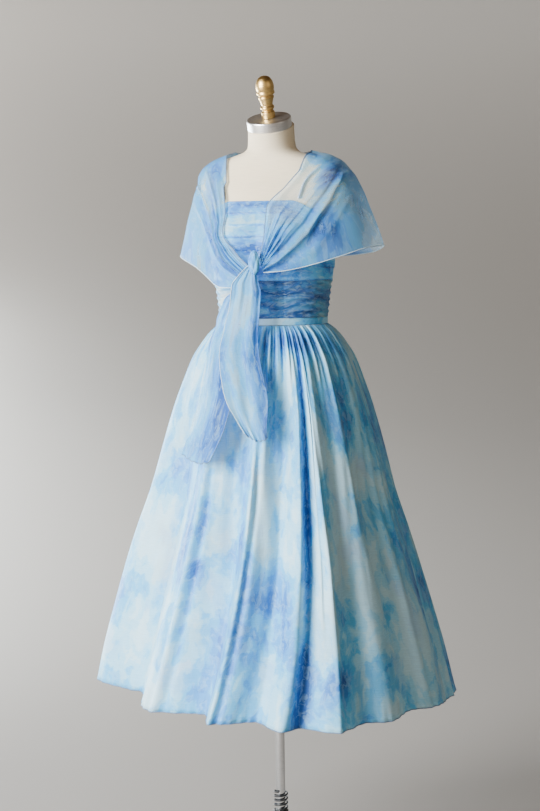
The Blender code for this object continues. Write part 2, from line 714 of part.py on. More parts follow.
def build():
    """Clears the scene and makes every piece."""
    for old in list(bpy.data.objects):
        bpy.data.objects.remove(old, do_unlink=True)

    make_torso("form_torso", "linen")
    neck = bpy.data.objects.new("neck_tilt", None)
    neck.rotation_euler = (NECK_TILT, 0, 0)
    neck.location = (0, NECK_TOP_Y, NECK_TOP_Z)
    bpy.context.scene.collection.objects.link(neck)
    cap = turned("form_neck_cap", CAP_PROFILE, 32, "brushed steel")
    cap.parent = neck
    cap.location = (0, 0, SEAM_GAP)
    finial = turned("form_finial", FINIAL_PROFILE, 16, "brass")
    finial.parent = neck
    finial.location = (0, 0, CAP_HEIGHT + 2 * SEAM_GAP)

    turned("stand_base", BASE_PROFILE, 32, "black paint")
    column_foot = BASE_PROFILE["z"][-1] + SEAM_GAP
    turned("stand_column", straight(COLUMN_RADIUS, column_foot, COLUMN_TOP_Z), 20, "black paint")
    pole_ends = COLUMN_TOP_Z + SEAM_GAP, FORM_BOTTOM_Z - SEAM_GAP
    turned("stand_pole", straight(POLE_RADIUS, *pole_ends), 20, "chrome")
    make_spring("stand_spring", "black paint")

    for half, place in ((-1, "front"), (1, "back")):
        make_skirt(f"skirt_{place}", half, "pale print")
        make_waistband(f"waistband_{place}", half, "white cloth")
        make_midriff(f"midriff_{place}", half, "blue print")
        make_bodice(f"bodice_{place}", half, "blue print")
    for side, place in ((1, "left"), (-1, "right")):
        make_strap(f"strap_{place}", side, "pale print")

    across = np.linspace(0, 1, 13)[None]
    for rows, side, place in ((STOLE_LEFT, 1, "left"), (STOLE_RIGHT, -1, "right")):
        along = np.linspace(STOLE_SPLIT, 9, 16)[:, None]
        points = part_seam(stole_points(rows, side, along, across), True, False)
        make_stole(f"stole_{place}", points, "pale print")
    along = np.linspace(0, STOLE_SPLIT, 7)[:, None]
    right = stole_points(STOLE_RIGHT, -1, along[::-1], across)
    left = stole_points(STOLE_LEFT, 1, along[1:], across)
    make_stole("stole_back", part_seam(np.concatenate([right, left]), True, True), "pale print")
    make_knot("stole_knot", "blue print")
    make_tail("stole_tail_short", TAIL_SHORT, 0.4, "pale print")
    make_tail("stole_tail_long", TAIL_LONG, 1.9, "pale print")


build()
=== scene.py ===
# %% [markdown]
# # A party dress and its stole on a dress form
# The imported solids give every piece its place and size. This lesson keeps those places and works
# out each surface again as a fine grid of points, so that the tucks, gathers, hems and folds of a
# sheer printed dress show up close. Every shape is a formula on whole numpy arrays: a radius from
# a turn round the pole and a height, or a profile that is carried along a path.
#
# The first cell loads the solids. They stay as they are: a finer piece takes their place later.

import bpy
import numpy as np
from mathutils import Matrix, Vector


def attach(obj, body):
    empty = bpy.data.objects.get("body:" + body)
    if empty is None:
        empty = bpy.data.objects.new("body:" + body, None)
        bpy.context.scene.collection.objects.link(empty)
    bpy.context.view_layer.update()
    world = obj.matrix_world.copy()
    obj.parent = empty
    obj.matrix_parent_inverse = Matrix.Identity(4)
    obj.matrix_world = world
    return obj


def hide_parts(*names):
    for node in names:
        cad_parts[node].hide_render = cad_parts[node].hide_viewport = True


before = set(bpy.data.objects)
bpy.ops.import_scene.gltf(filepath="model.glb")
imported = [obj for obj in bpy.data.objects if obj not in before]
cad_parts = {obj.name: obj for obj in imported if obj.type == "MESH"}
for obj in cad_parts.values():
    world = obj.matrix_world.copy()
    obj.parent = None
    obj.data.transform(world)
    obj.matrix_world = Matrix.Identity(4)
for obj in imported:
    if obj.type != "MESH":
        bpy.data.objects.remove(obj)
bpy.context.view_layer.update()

# %% [markdown]
# ## The camera, the room and the light
# The camera stands 4 m away, 18 degrees round towards the wearer's left and a little under
# shoulder height, with a long lens. It looks down five degrees. The room is a pale floor that
# curves up into a wall in one sweep, so no corner shows behind the dress from any side. A window's
# light comes from the left and the room is dim and warm on the right: one large soft lamp lights
# the dress, a weak one keeps the shaded folds readable, and a long low one like a row of windows,
# with one for the upper wall, lights the room behind, so that it darkens evenly to the right. Two
# warm ones light the rest of the room for the views from the sides and from behind.

# %% The camera
AZIMUTH = np.radians(18.0)
CAMERA_FAR = 4.0
CAMERA_HIGH = 1.395
LENS = 83.45  # mm
LOOK_DOWN = np.radians(5.18)
LOOK_ASIDE = 0.0029  # radians
LEAN = np.radians(-0.8)
to_right = Vector((np.cos(AZIMUTH), np.sin(AZIMUTH), 0))
to_camera = Vector((np.sin(AZIMUTH), -np.cos(AZIMUTH), 0))
behind = to_camera * np.cos(LOOK_DOWN) + Vector((0, 0, np.sin(LOOK_DOWN)))
level_view = Matrix((to_right, behind.cross(to_right), behind)).transposed()

camera = bpy.data.objects.new("camera", bpy.data.cameras.new("camera"))
camera.data.lens = LENS
camera.data.sensor_width = 36.0
camera.data.dof.use_dof = False
rotation = Matrix.Rotation(LOOK_ASIDE, 3, "Z") @ level_view @ Matrix.Rotation(LEAN, 3, "Z")
place = to_camera * CAMERA_FAR + Vector((0, 0, CAMERA_HIGH))
camera.matrix_world = Matrix.Translation(place) @ rotation.to_4x4()
bpy.context.scene.collection.objects.link(camera)
bpy.context.scene.camera = camera
print("camera at", [round(x, 2) for x in place])


# %% Points and meshes
def together(*parts):
    """Arrays spread out to one shape and stacked as the last axis of one array."""
    return np.stack(np.broadcast_arrays(*parts), axis=-1)


def cylinder(radius, turn, z):
    """Points from a radius, a turn and a height: x is r sin(turn), y is -r cos(turn)."""
    return together(radius * np.sin(turn), -radius * np.cos(turn), z)


def all_round(count):
    """Turns spaced evenly all the way round."""
    return np.linspace(0, 2 * np.pi, count, endpoint=False)


def half_round(middle, count):
    """Turns from side seam to side seam, as one row."""
    return middle + np.linspace(-np.pi / 2, np.pi / 2, count)[None]


def signed_turn(turn):
    """A turn between -180 and 180, in degrees."""
    return (np.degrees(turn) + 180) % 360 - 180


def degrees_from(turn, line):
    """How far a turn is from a line at so many degrees, between -180 and 180."""
    return signed_turn(turn - np.radians(line))


def grid_quads(rows, columns, round_it=False):
    """Quads of a grid whose point (i, j) is number i * columns + j. A round grid closes its last
    column onto its first."""
    start = np.arange(rows - 1)[:, None] * columns
    here = np.arange(columns if round_it else columns - 1)[None]
    there = (here + 1) % columns
    corners = (start + here, start + there, start + columns + there, start + columns + here)
    return np.stack(corners, axis=-1).reshape(-1, 4)


def arc_length(points):
    """Distance along each row of points, or of a single row, from its first point."""
    steps = np.linalg.norm(np.diff(points, axis=-2), axis=-1)
    start = np.zeros((*steps.shape[:-1], 1))
    return np.concatenate([start, np.cumsum(steps, axis=-1)], axis=-1)


def outward(points, quads, centre):
    """The quads, turned over if their normals point on the whole towards the centre."""
    a, b, c, d = (points[quads[:, k]] for k in range(4))
    facing = (np.cross(c - a, d - b) * ((a + b + c + d) / 4 - centre)).sum()
    return quads if facing > 0 else quads[:, ::-1]


def make_piece(name, points, faces, finish, uv=None, depth=None):
    """A smooth mesh object. uv places each point on the flat cloth in metres, and depth is how
    strongly the print is coloured there, painted shade and highlight of the folds included."""
    mesh = bpy.data.meshes.new(name)
    mesh.from_pydata(points, [], faces)
    mesh.shade_smooth()
    if uv is not None:
        corner_points = np.empty(len(mesh.loops), np.int32)
        mesh.loops.foreach_get("vertex_index", corner_points)
        layer = mesh.uv_layers.new(name="cloth")
        layer.data.foreach_set("uv", uv[corner_points].ravel().astype(np.float32))
    if depth is not None:
        values = mesh.attributes.new("print_and_shade_depth", "FLOAT", "POINT")
        values.data.foreach_set("value", depth.ravel().astype(np.float32))
    mesh.materials.append(finish)
    made = bpy.data.objects.new(name, mesh)
    bpy.context.scene.collection.objects.link(made)
    return made


# %% The room
ROOM_SIDES = 96
FLOOR_RADIUS = 2.0
BEND_WIDE, BEND_HIGH = 8.0, 3.0  # the quarter ellipse between floor and wall
WALL_TOP = 7.5


def room_profile():
    """Radius and height of the room: a level floor that bends up into a wall in one long sweep, a
    quarter of an ellipse."""
    floor = np.linspace(0.5, FLOOR_RADIUS, 4)
    bend = np.linspace(0, np.pi / 2, 33)[1:]
    wall = np.linspace(BEND_HIGH + 0.4, WALL_TOP, 5)
    swept_out = FLOOR_RADIUS + BEND_WIDE * np.sin(bend)
    radius = np.concatenate([floor, swept_out, np.full(5, FLOOR_RADIUS + BEND_WIDE)])
    height = np.concatenate([0 * floor, BEND_HIGH - BEND_HIGH * np.cos(bend), wall])
    return radius, height


def new_material(name):
    """A material with its node tree and its shader's inputs."""
    made = bpy.data.materials.new(name)
    made.use_nodes = True
    return made, made.node_tree, made.node_tree.nodes["Principled BSDF"].inputs


paint, _, shader = new_material("pale_room_paint")
shader["Base Color"].default_value = (0.34, 0.31, 0.275, 1)
shader["Roughness"].default_value = 0.95
radius, height = room_profile()
points = cylinder(radius[:, None], all_round(ROOM_SIDES), height[:, None]).reshape(-1, 3)
points = np.concatenate([points, [[0, 0, 0]]])
quads = grid_quads(len(radius), ROOM_SIDES, True)[:, ::-1]
middle = [[len(points) - 1, j, (j + 1) % ROOM_SIDES] for j in range(ROOM_SIDES)]
room = make_piece("room", points, quads.tolist() + middle, paint)
print("room:", len(quads), "quads")


# %% The lamps
def in_room(right, toward, high):
    """A place to the right of the pole, as the camera sees it, towards the camera and above the
    floor."""
    return to_right * right + to_camera * toward + Vector((0, 0, high))


def lamp(name, place, aim, size, power, colour):
    """A soft rectangular lamp at one place in the room, turned towards another."""
    data = bpy.data.lights.new(name, "AREA")
    data.shape = "RECTANGLE"
    data.size, data.size_y = size
    data.energy = power
    data.color = colour
    made = bpy.data.objects.new(name, data)
    made.visible_camera = False
    made.location = in_room(*place)
    direction = in_room(*aim) - made.location
    made.rotation_euler = direction.to_track_quat("-Z", "Y").to_euler()
    bpy.context.scene.collection.objects.link(made)


WARM_LIGHT = (1.0, 0.93, 0.84)
for name, *how in (
    ("window", (-2.8, 2.1, 1.9), (0, 0, 1.0), (1.8, 2.4), 445, (0.97, 0.98, 1.0)),
    ("fill", (3.2, 3.0, 2.2), (0, 0, 1.0), (2.0, 2.0), 14, (1.0, 0.88, 0.76)),
    ("far_windows", (-2.5, -4.5, 0.9), (-1.1, -4.5, 0.65), (6.2, 1.2), 660, (0.86, 0.94, 1.0)),
    ("wall_wash", (-4.3, -7.2, 1.9), (-3.8, -9.2, 2.0), (1.6, 2.4), 600, (0.93, 0.97, 1.0)),
    ("room_behind", (0, 5.0, 2.4), (0, 9.5, 1.6), (3.0, 3.0), 240, WARM_LIGHT),
    ("room_left", (-3.0, 0.5, 2.4), (-9.5, -0.5, 1.6), (3.0, 3.0), 200, WARM_LIGHT),
):
    lamp(name, *how)
world = bpy.data.worlds.new("soft_room")
world.use_nodes = True
dusk = world.node_tree.nodes["Background"].inputs
dusk["Color"].default_value = (1.0, 0.62, 0.36, 1)
dusk["Strength"].default_value = 0.08
bpy.context.scene.world = world

# %% [markdown]
# ## Finishes
# Several finishes share an effect, so each effect is a node group that is built once and given its
# own numbers in every material. The print is soft clouds of blue on a white ground, brushed while
# the cloth was wet. It could be painted as a picture, but noise at three sizes, at places that
# finer noise has bent, gives the same soft edges at any distance and never repeats. It reads the
# cloth's own flat coordinates in metres, so it narrows where the cloth is gathered and follows
# every fold.


# %% Helpers for node trees
def new_group(name, inputs, outputs):
    """An empty shader node group. inputs are (name, type, value) and outputs are (name, type)."""
    tree = bpy.data.node_groups.new(name, "ShaderNodeTree")
    for label, kind, value in inputs:
        kind = "NodeSocket" + kind
        socket = tree.interface.new_socket(name=label, in_out="INPUT", socket_type=kind)
        if value is not None:
            socket.default_value = value
    for label, kind in outputs:
        kind = "NodeSocket" + kind
        tree.interface.new_socket(name=label, in_out="OUTPUT", socket_type=kind)
    given = tree.nodes.new("NodeGroupInput").outputs
    return tree, given, tree.nodes.new("NodeGroupOutput").inputs


def node(tree, kind, settings=(), **sockets):
    """A shader node with its settings, and its sockets set or linked by name."""
    made = tree.nodes.new("ShaderNode" + kind)
    for key, value in dict(settings).items():
        setattr(made, key, value)
    for key, value in sockets.items():
        plug(tree, value, made.inputs[key.replace("_", " ")])
    return made


def plug(tree, value, socket):
    """Links a socket to another, or sets its value."""
    if isinstance(value, bpy.types.NodeSocket):
        tree.links.new(value, socket)
    else:
        socket.default_value = value


def math(tree, operation, *values, kind="Math", **settings):
    """A math node's output."""
    made = node(tree, kind, {"operation": operation, **settings})
    for value, socket in zip(values, made.inputs):
        plug(tree, value, socket)
    return made.outputs[0]


def vector_math(tree, operation, *values):
    """A vector math node's output."""
    return math(tree, operation, *values, kind="VectorMath")


def mix(tree, factor, first, second, blend="MIX"):
    """Two colours mixed by a factor."""
    made = node(tree, "Mix", {"data_type": "RGBA", "blend_type": blend})
    for value, index in ((factor, 0), (first, 6), (second, 7)):
        plug(tree, value, made.inputs[index])
    return made.outputs[2]


def span(tree, value, low, high, new_low=0.0, new_high=1.0):
    """A value carried smoothly from one range to another, and held at its ends."""
    made = node(tree, "MapRange", {"interpolation_type": "SMOOTHSTEP"}, Value=value)
    for index, limit in enumerate((low, high, new_low, new_high), 1):
        plug(tree, limit, made.inputs[index])
    return made.outputs[0]


def noise(tree, at, scale, detail=2.0, rough=0.5, distortion=0.0, out=0):
    """Soft noise between 0 and 1: its value, or its colour, which is three values in one."""
    sockets = dict(Vector=at, Scale=scale, Detail=detail, Roughness=rough, Distortion=distortion)
    return node(tree, "TexNoise", **sockets).outputs[out]


def bumped(tree, shader, height, distance, strength):
    """Lets a height tilt the shader's normals."""
    bump = node(tree, "Bump", Height=height, Distance=distance, Strength=strength)
    plug(tree, bump.outputs[0], shader["Normal"])


# %% The cloud print
PRINT_TONES = 6
PRINT_STOPS = (
    (0.16, (0.52, 0.84, 0.99)),
    (0.33, (0.33, 0.74, 0.98)),
    (0.42, (0.19, 0.63, 0.96)),
    (0.50, (0.11, 0.53, 0.93)),
    (0.66, (0.07, 0.36, 0.82)),
    (0.80, (0.04, 0.23, 0.66)),
    (0.97, (0.015, 0.11, 0.42)),
)


def build_print():
    """Noise at three sizes is added up, shifted by Depth, and read off on a ramp from white to deep
    blue. Depth holds the print's patches and, where a piece adds them, painted shade in its folds
    and painted highlight on their crests. Taking off a sine of six waves flattens it into six
    tones, and finer noise bends the places first, so the tones meet in ragged edges, as wet dye
    does. A warm wash lies on the pale places and a violet one on the blue, and a crinkled dapple of
    pale marks lies over both."""
    tree, given, out = new_group(
        "cloud_print",
        [("Cloth", "Vector", None), ("Seed", "Float", 0.0), ("Stretch", "Float", 0.5),
         ("Depth", "Float", 0.0), ("Brush", "Float", 0.2)],
        [("Color", "Color"), ("Cover", "Float")],
    )
    stretch = node(tree, "CombineXYZ", X=1.0, Y=given["Stretch"], Z=1.0).outputs[0]
    seed = node(tree, "CombineXYZ", Z=given["Seed"]).outputs[0]
    flat = vector_math(tree, "ADD", vector_math(tree, "MULTIPLY", given["Cloth"], stretch), seed)
    wet = flat
    for scale, reach in ((11.0, 0.07), (75.0, 0.022)):
        bend = noise(tree, wet, scale, 3.0, out="Color")
        bend = vector_math(tree, "SUBTRACT", bend, (0.5, 0.5, 0.5))
        bend = vector_math(tree, "MULTIPLY", bend, (reach, reach, 0.0))
        wet = vector_math(tree, "ADD", wet, bend)
    brushed = vector_math(tree, "MULTIPLY", wet, (1.0, 0.16, 1.0))
    total = given["Depth"]
    for place, scale, detail, share in (
        (wet, 5.5, 1.0, 1.05),
        (wet, 14.0, 2.0, 0.95),
        (wet, 44.0, 3.0, 0.52),
        (brushed, 60.0, 2.0, given["Brush"]),
    ):
        part = math(tree, "SUBTRACT", noise(tree, place, scale, detail), 0.5)
        total = math(tree, "MULTIPLY_ADD", part, share, total)
    cover = math(tree, "ADD", total, 0.46, use_clamp=True)
    wave = 2 * np.pi * PRINT_TONES
    steps = math(tree, "SINE", math(tree, "MULTIPLY", cover, wave))
    cover = math(tree, "MULTIPLY_ADD", steps, -0.85 / wave, cover)
    ramp = node(tree, "ValToRGB", Fac=cover)
    ramp.color_ramp.interpolation = "EASE"
    for place, _ in PRINT_STOPS[1:-1]:
        ramp.color_ramp.elements.new(place)
    for element, (place, colour) in zip(ramp.color_ramp.elements, PRINT_STOPS):
        element.position = place
        element.color = (*colour, 1)
    aside = vector_math(tree, "ADD", wet, (3.1, 1.7, 7.3))
    warm = span(tree, noise(tree, aside, 7.0), 0.50, 0.64, 0.0, 0.34)
    warm = math(tree, "MULTIPLY", warm, span(tree, cover, 0.25, 0.62, 1.0, 0.10))
    colour = mix(tree, warm, ramp.outputs[0], (0.44, 0.56, 0.60, 1))
    aside = vector_math(tree, "ADD", wet, (9.4, 5.2, 2.6))
    violet = span(tree, noise(tree, aside, 10.0), 0.54, 0.68, 0.0, 0.22)
    colour = mix(tree, violet, colour, (0.13, 0.29, 0.75, 1))
    dapple = span(tree, noise(tree, wet, 60.0, 4.0, 0.65, 0.6), 0.47, 0.62, 0.0, 0.30)
    colour = mix(tree, dapple, colour, (0.42, 0.77, 0.98, 1))
    plug(tree, colour, out["Color"])
    plug(tree, cover, out["Cover"])
    return tree


cloud_print = build_print()
print("print group:", len(cloud_print.nodes), "nodes")


# %% The weave
def build_weave():
    """Plain weave: the height is the mean of two rows of round ribs, warp and weft, with a slub
    that varies from thread to thread."""
    tree, given, out = new_group(
        "plain_weave",
        [("Cloth", "Vector", None), ("Pitch", "Float", 0.001)],
        [("Height", "Float"), ("Slub", "Float")],
    )
    axes = node(tree, "SeparateXYZ", Vector=given["Cloth"])
    ribs = []
    for axis in (0, 1):
        angle = math(tree, "MULTIPLY", axes.outputs[axis], np.pi)
        angle = math(tree, "DIVIDE", angle, given["Pitch"])
        ribs.append(math(tree, "ABSOLUTE", math(tree, "SINE", angle)))
    plug(tree, math(tree, "MULTIPLY", math(tree, "ADD", *ribs), 0.5), out["Height"])
    long_threads = vector_math(tree, "MULTIPLY", given["Cloth"], (0.05, 1.0, 1.0))
    plug(tree, noise(tree, long_threads, 700.0), out["Slub"])
    return tree


plain_weave = build_weave()
print("weave group:", len(plain_weave.nodes), "nodes")


# %% Marks of use
def build_marks():
    """Fine scratches that run round the piece, and soft smudges, for polished and painted metal."""
    tree, given, out = new_group(
        "metal_marks",
        [("Place", "Vector", None), ("Along", "Vector", (40.0, 40.0, 2500.0)),
         ("Smudge", "Float", 30.0)],
        [("Scratch", "Float"), ("Smudges", "Float")],
    )
    lined = vector_math(tree, "MULTIPLY", given["Place"], given["Along"])
    plug(tree, noise(tree, lined, 1.0, 3.0, 0.7), out["Scratch"])
    smudge = noise(tree, given["Place"], given["Smudge"], 4.0, 0.6)
    plug(tree, span(tree, smudge, 0.42, 0.66), out["Smudges"])
    return tree


metal_marks = build_marks()
print("marks group:", len(metal_marks.nodes), "nodes")


# %% [markdown]
# A cloth material joins the print and the weave to one shader. The stole is a single sheer layer,
# so its alpha follows the print: white ground lets more light through than a blue cloud. The
# skirt and bodice lie over a plain layer of the same white and are solid to the eye. Crisp sheer
# cloth has a soft sheen and small creases, which are finer than the modelled folds, so they are a
# bump.


# %% Cloth material
def slubbed(tree, colour, weave, least):
    """The colour, a little darker along the thicker threads of the weave."""
    slub = span(tree, weave.outputs["Slub"], 0.3, 0.7, least, 1.0)
    shade = node(tree, "CombineColor", Red=slub, Green=slub, Blue=slub).outputs[0]
    return mix(tree, 1.0, colour, shade, "MULTIPLY")


def cloth(name, seed, stretch, depth=0.0, alpha=None, crease=1.0, brush=0.15, painted_shade=(1, 1, 1)):
    """The printed cloth. alpha gives the least and the most cover of a sheer layer. The last
    argument is a painted shade: a tint that each colour is multiplied by, which darkens and greys
    the cloth."""
    made, tree, shader = new_material(name)
    uv = node(tree, "UVMap", {"uv_map": "cloth"}).outputs[0]
    deeper = node(tree, "Attribute", {"attribute_name": "print_and_shade_depth"}).outputs["Fac"]
    sockets = dict(Cloth=uv, Seed=seed, Stretch=stretch, Brush=brush)
    sockets["Depth"] = math(tree, "ADD", deeper, depth)
    printed = node(tree, "Group", {"node_tree": cloud_print}, **sockets).outputs
    weave = node(tree, "Group", {"node_tree": plain_weave}, Cloth=uv, Pitch=0.0009)
    # Painted shade: the print's colour is multiplied by a tint that darkens and greys it.
    colour = mix(tree, 1.0, printed["Color"], (*painted_shade, 1), "MULTIPLY")
    plug(tree, slubbed(tree, colour, weave, 0.90), shader["Base Color"])
    plug(tree, span(tree, weave.outputs["Height"], 0.0, 1.0, 0.70, 0.52), shader["Roughness"])
    if alpha is not None:
        plug(tree, span(tree, printed["Cover"], 0.05, 0.75, *alpha), shader["Alpha"])
    shader["Sheen Weight"].default_value = 0.12
    shader["Sheen Roughness"].default_value = 0.35
    shader["Specular IOR Level"].default_value = 0.30
    drawn_out = vector_math(tree, "MULTIPLY", uv, (1.0, 0.45, 1.0))
    creases = noise(tree, drawn_out, 75.0, 4.0, 0.62, 0.4)
    height = math(tree, "MULTIPLY", creases, 0.0016 * crease)
    height = math(tree, "MULTIPLY_ADD", weave.outputs["Height"], 0.00006, height)
    bumped(tree, shader, height, 1.0, 0.55)
    return made


skirt_cloth = cloth("printed_skirt_cloth", 1.3, 0.80, brush=0.25)
bodice_cloth = cloth("printed_bodice_cloth", 4.1, 1.5)
# The midriff's colours are darkened and greyed as painted shade.
midriff_cloth = cloth("ruched_midriff_cloth", 6.2, 1.3, crease=1.6, painted_shade=(0.96, 0.74, 0.66))
band_cloth = cloth("waistband_cloth", 8.8, 1.0, -0.25)
stole_cloth = cloth("sheer_stole_cloth", 2.7, 0.9, 0.04, (0.07, 0.60), brush=0.0)
tail_cloth = cloth("sheer_tail_cloth", 8.2, 0.8, 0.13, (0.28, 0.74), brush=0.0)
knot_cloth = cloth("knotted_cloth", 9.5, 1.0, 0.14)
print("cloth materials:", len([m for m in bpy.data.materials if "cloth" in m.name]))

# %% [markdown]
# The form is covered in unbleached linen that is stretched smooth. Its neck ends in a brushed
# steel cap, under a finial of turned brass that has darkened in its grooves. The pole is chromed,
# and the coil, the column and the base are painted black.


# %% Metal, paint and linen
NECK_TILT = np.radians(20.0)


def metal(name, colour, dull, roughness, along, smudge, metallic=1.0, tilt=0.0):
    """Polished, brushed or painted metal: scratches along the turning in colour and gloss, and
    smudges in colour. The scratches run round an axis that is tilted forward when tilt is given."""
    made, tree, shader = new_material(name)
    place = node(tree, "TexCoord").outputs["Object"]
    if tilt:
        place = node(tree, "Mapping", Vector=place, Rotation=(-tilt, 0, 0)).outputs[0]
    sockets = dict(Place=place, Along=along, Smudge=smudge)
    marks = node(tree, "Group", {"node_tree": metal_marks}, **sockets).outputs
    shade = math(tree, "MULTIPLY", marks["Smudges"], span(tree, marks["Scratch"], 0.35, 0.7))
    plug(tree, mix(tree, shade, (*colour, 1), (*dull, 1)), shader["Base Color"])
    least, most = roughness
    rough = math(tree, "MULTIPLY_ADD", marks["Scratch"], most - least, least)
    plug(tree, rough, shader["Roughness"])
    shader["Metallic"].default_value = metallic
    bumped(tree, shader, marks["Scratch"], 0.00004, 0.6)
    return made


def linen_cover():
    """Cream linen: a plain weave that reads the body's place, x + y across and z upwards, a little
    yellowed in soft patches."""
    made, tree, shader = new_material("cream_linen_cover")
    place = node(tree, "TexCoord").outputs["Object"]
    aged = span(tree, noise(tree, place, 7.0, 3.0), 0.40, 0.70)
    colour = mix(tree, aged, (0.97, 0.84, 0.60, 1), (0.92, 0.77, 0.51, 1))
    x, y, z = node(tree, "SeparateXYZ", Vector=place).outputs
    flat = node(tree, "CombineXYZ", X=math(tree, "ADD", x, y), Y=z).outputs[0]
    weave = node(tree, "Group", {"node_tree": plain_weave}, Cloth=flat, Pitch=0.0011)
    plug(tree, slubbed(tree, colour, weave, 0.93), shader["Base Color"])
    plug(tree, span(tree, weave.outputs["Height"], 0.0, 1.0, 0.92, 0.80), shader["Roughness"])
    shader["Sheen Weight"].default_value = 0.15
    bumped(tree, shader, weave.outputs["Height"], 0.0001, 0.5)
    return made


def thread(name, colour, twist):
    """Sewing thread: darker and lighter turns of the twist, from noise drawn out across it."""
    made, tree, shader = new_material(name)
    turns = noise(tree, node(tree, "TexCoord").outputs["Object"], twist, 2.0, 0.6)
    lighter = tuple(min(1.0, 0.10 + 1.35 * part) for part in colour)
    shade = span(tree, turns, 0.40, 0.62)
    plug(tree, mix(tree, shade, (*colour, 1), (*lighter, 1)), shader["Base Color"])
    plug(tree, span(tree, turns, 0.3, 0.7, 0.75, 0.55), shader["Roughness"])
    bumped(tree, shader, turns, 0.0003, 0.6)
    return made


linen = linen_cover()
steel = metal(
    "neck_cap_steel", (0.86, 0.85, 0.82), (0.52, 0.50, 0.47), (0.30, 0.46), (30, 30, 1600), 24.0,
    tilt=NECK_TILT,
)
brass = metal(
    "neck_finial_brass", (0.86, 0.59, 0.22), (0.34, 0.20, 0.07), (0.26, 0.46), (60, 60, 900), 70.0,
    tilt=NECK_TILT,
)
chrome = metal(
    "chromed_pole", (0.80, 0.82, 0.84), (0.55, 0.57, 0.60), (0.06, 0.20), (90, 90, 1200), 18.0,
)
black = metal(
    "black_stand_paint", (0.018, 0.018, 0.019), (0.05, 0.047, 0.043), (0.30, 0.52),
    (500, 500, 500), 40.0, metallic=0.0,
)
hem_thread = thread("hem_thread", (0.09, 0.16, 0.28), 900.0)
pale_thread = thread("pale_hem_thread", (0.50, 0.66, 0.80), 900.0)
print("hard finishes:", [finish.name for finish in (linen, steel, brass, chrome, black)])

# %% [markdown]
# ## Curves through tables
# Sizes that change with height or turn are kept in short tables with named columns. One function
# reads a column as a smooth curve that never overshoots its rows: each piece is a cubic whose
# slope at a row is the harmonic mean of the slopes on both sides, or zero at a peak.


# %% Tables
def table(columns, *rows):
    """Rows of numbers as named columns."""
    return dict(zip(columns.split(), np.array(rows, float).T))


def follow(rows, column, at, key="z"):
    """A smooth curve through a table's column that never overshoots its rows."""
    order = np.argsort(rows[key])
    x, y = rows[key][order], rows[column][order]
    rise = np.diff(y) / np.diff(x)
    product = rise[:-1] * rise[1:]
    shared = 2 * product / np.where(product > 0, rise[:-1] + rise[1:], 1)
    slope = np.concatenate([rise[:1], np.where(product > 0, shared, 0), rise[-1:]])
    at = np.clip(at, x[0], x[-1])
    i = np.clip(np.searchsorted(x, at, side="right") - 1, 0, len(x) - 2)
    step = x[i + 1] - x[i]
    t = (at - x[i]) / step
    ends = y[i] * (1 + 2 * t) * (1 - t) ** 2 + y[i + 1] * t * t * (3 - 2 * t)
    return ends + step * t * (1 - t) * (slope[i] * (1 - t) - slope[i + 1] * t)


# %% [markdown]
# ## The dress form
# The form is a limbless torso with a neck, padded and covered in linen. Each level section is two
# half ellipses of one width, a front and a back one, and two soft rises make a general bust. It
# could be sculpted, but a table of sections is easier to fit a dress to. The top of the neck is cut
# on a slant, where the steel cap sits.

# %% The body's sections
# Half the body's width, and its depth before and behind the pole's axis, at each height.
BODY = table(
    "z width front back",
    (0.985, 0.140, 0.098, 0.100),
    (1.000, 0.155, 0.108, 0.112),
    (1.060, 0.158, 0.110, 0.116),
    (1.130, 0.138, 0.100, 0.100),
    (1.208, 0.1120, 0.0965, 0.0760),
    (1.260, 0.1165, 0.1000, 0.0780),
    (1.310, 0.1245, 0.1040, 0.0820),
    (1.390, 0.1380, 0.1080, 0.0900),
    (1.450, 0.1490, 0.0940, 0.0980),
    (1.485, 0.1580, 0.0800, 0.1020),
    (1.510, 0.1590, 0.0670, 0.1010),
    (1.528, 0.1510, 0.0600, 0.0960),
    (1.543, 0.1330, 0.0560, 0.0890),
    (1.554, 0.1090, 0.0540, 0.0810),
    (1.562, 0.0820, 0.0530, 0.0720),
    (1.570, 0.0590, 0.0530, 0.0620),
    (1.579, 0.0510, 0.0540, 0.0520),
    (1.594, 0.0492, 0.0560, 0.0440),
    (1.6200, 0.0485, 0.0600, 0.0360),
)

# The bust's two soft rises on the front of the form.
BUST = {"turn": 30.0, "z": 1.385, "proud": 0.021, "spread": 23.0, "height": 0.045}


def oval(rows, z, turn):
    """Radius of a level section: a front and a back half of an ellipse that share a width."""
    width = follow(rows, "width", z)
    depth = np.where(np.cos(turn) > 0, follow(rows, "front", z), follow(rows, "back", z))
    return 1 / np.sqrt((np.sin(turn) / width) ** 2 + (np.cos(turn) / depth) ** 2)


def body_radius(z, turn):
    """The form's surface: its oval sections with the bust's two rises."""
    aside = (np.abs(signed_turn(turn)) - BUST["turn"]) / BUST["spread"]
    across = np.exp(-(aside**2))
    up = np.exp(-(((z - BUST["z"]) / BUST["height"]) ** 2))
    return oval(BODY, z, turn) + BUST["proud"] * across * up


for part, z in (("waist", 1.208), ("bust", BUST["z"])):
    turn = np.linspace(0, 2 * np.pi, 361)
    girth = arc_length(cylinder(body_radius(z, turn), turn, z))[-1]
    print(part, round(float(girth), 3), "m round")


# %% The torso
BODY_FOOT_Z = 0.985
NECK_FOOT_Z = 1.570
NECK_TOP_Y, NECK_TOP_Z = -0.0120, 1.6200


def torso_points(columns, rows):
    """The body's radius at each turn and height. Up the neck the height leans with the cut: it
    rises towards the back by the tilt's tangent."""
    lower = np.linspace(BODY_FOOT_Z, 1.50, rows // 2)
    upper = np.linspace(1.502, NECK_TOP_Z, rows // 2)
    z = np.concatenate([lower, upper])[:, None]
    turn = all_round(columns)
    points = cylinder(body_radius(z, turn), turn, z)
    tilted = np.clip((z - NECK_FOOT_Z) / (NECK_TOP_Z - NECK_FOOT_Z), 0, 1)
    points[..., 2] += tilted * np.tan(NECK_TILT) * (points[..., 1] - NECK_TOP_Y)
    return points


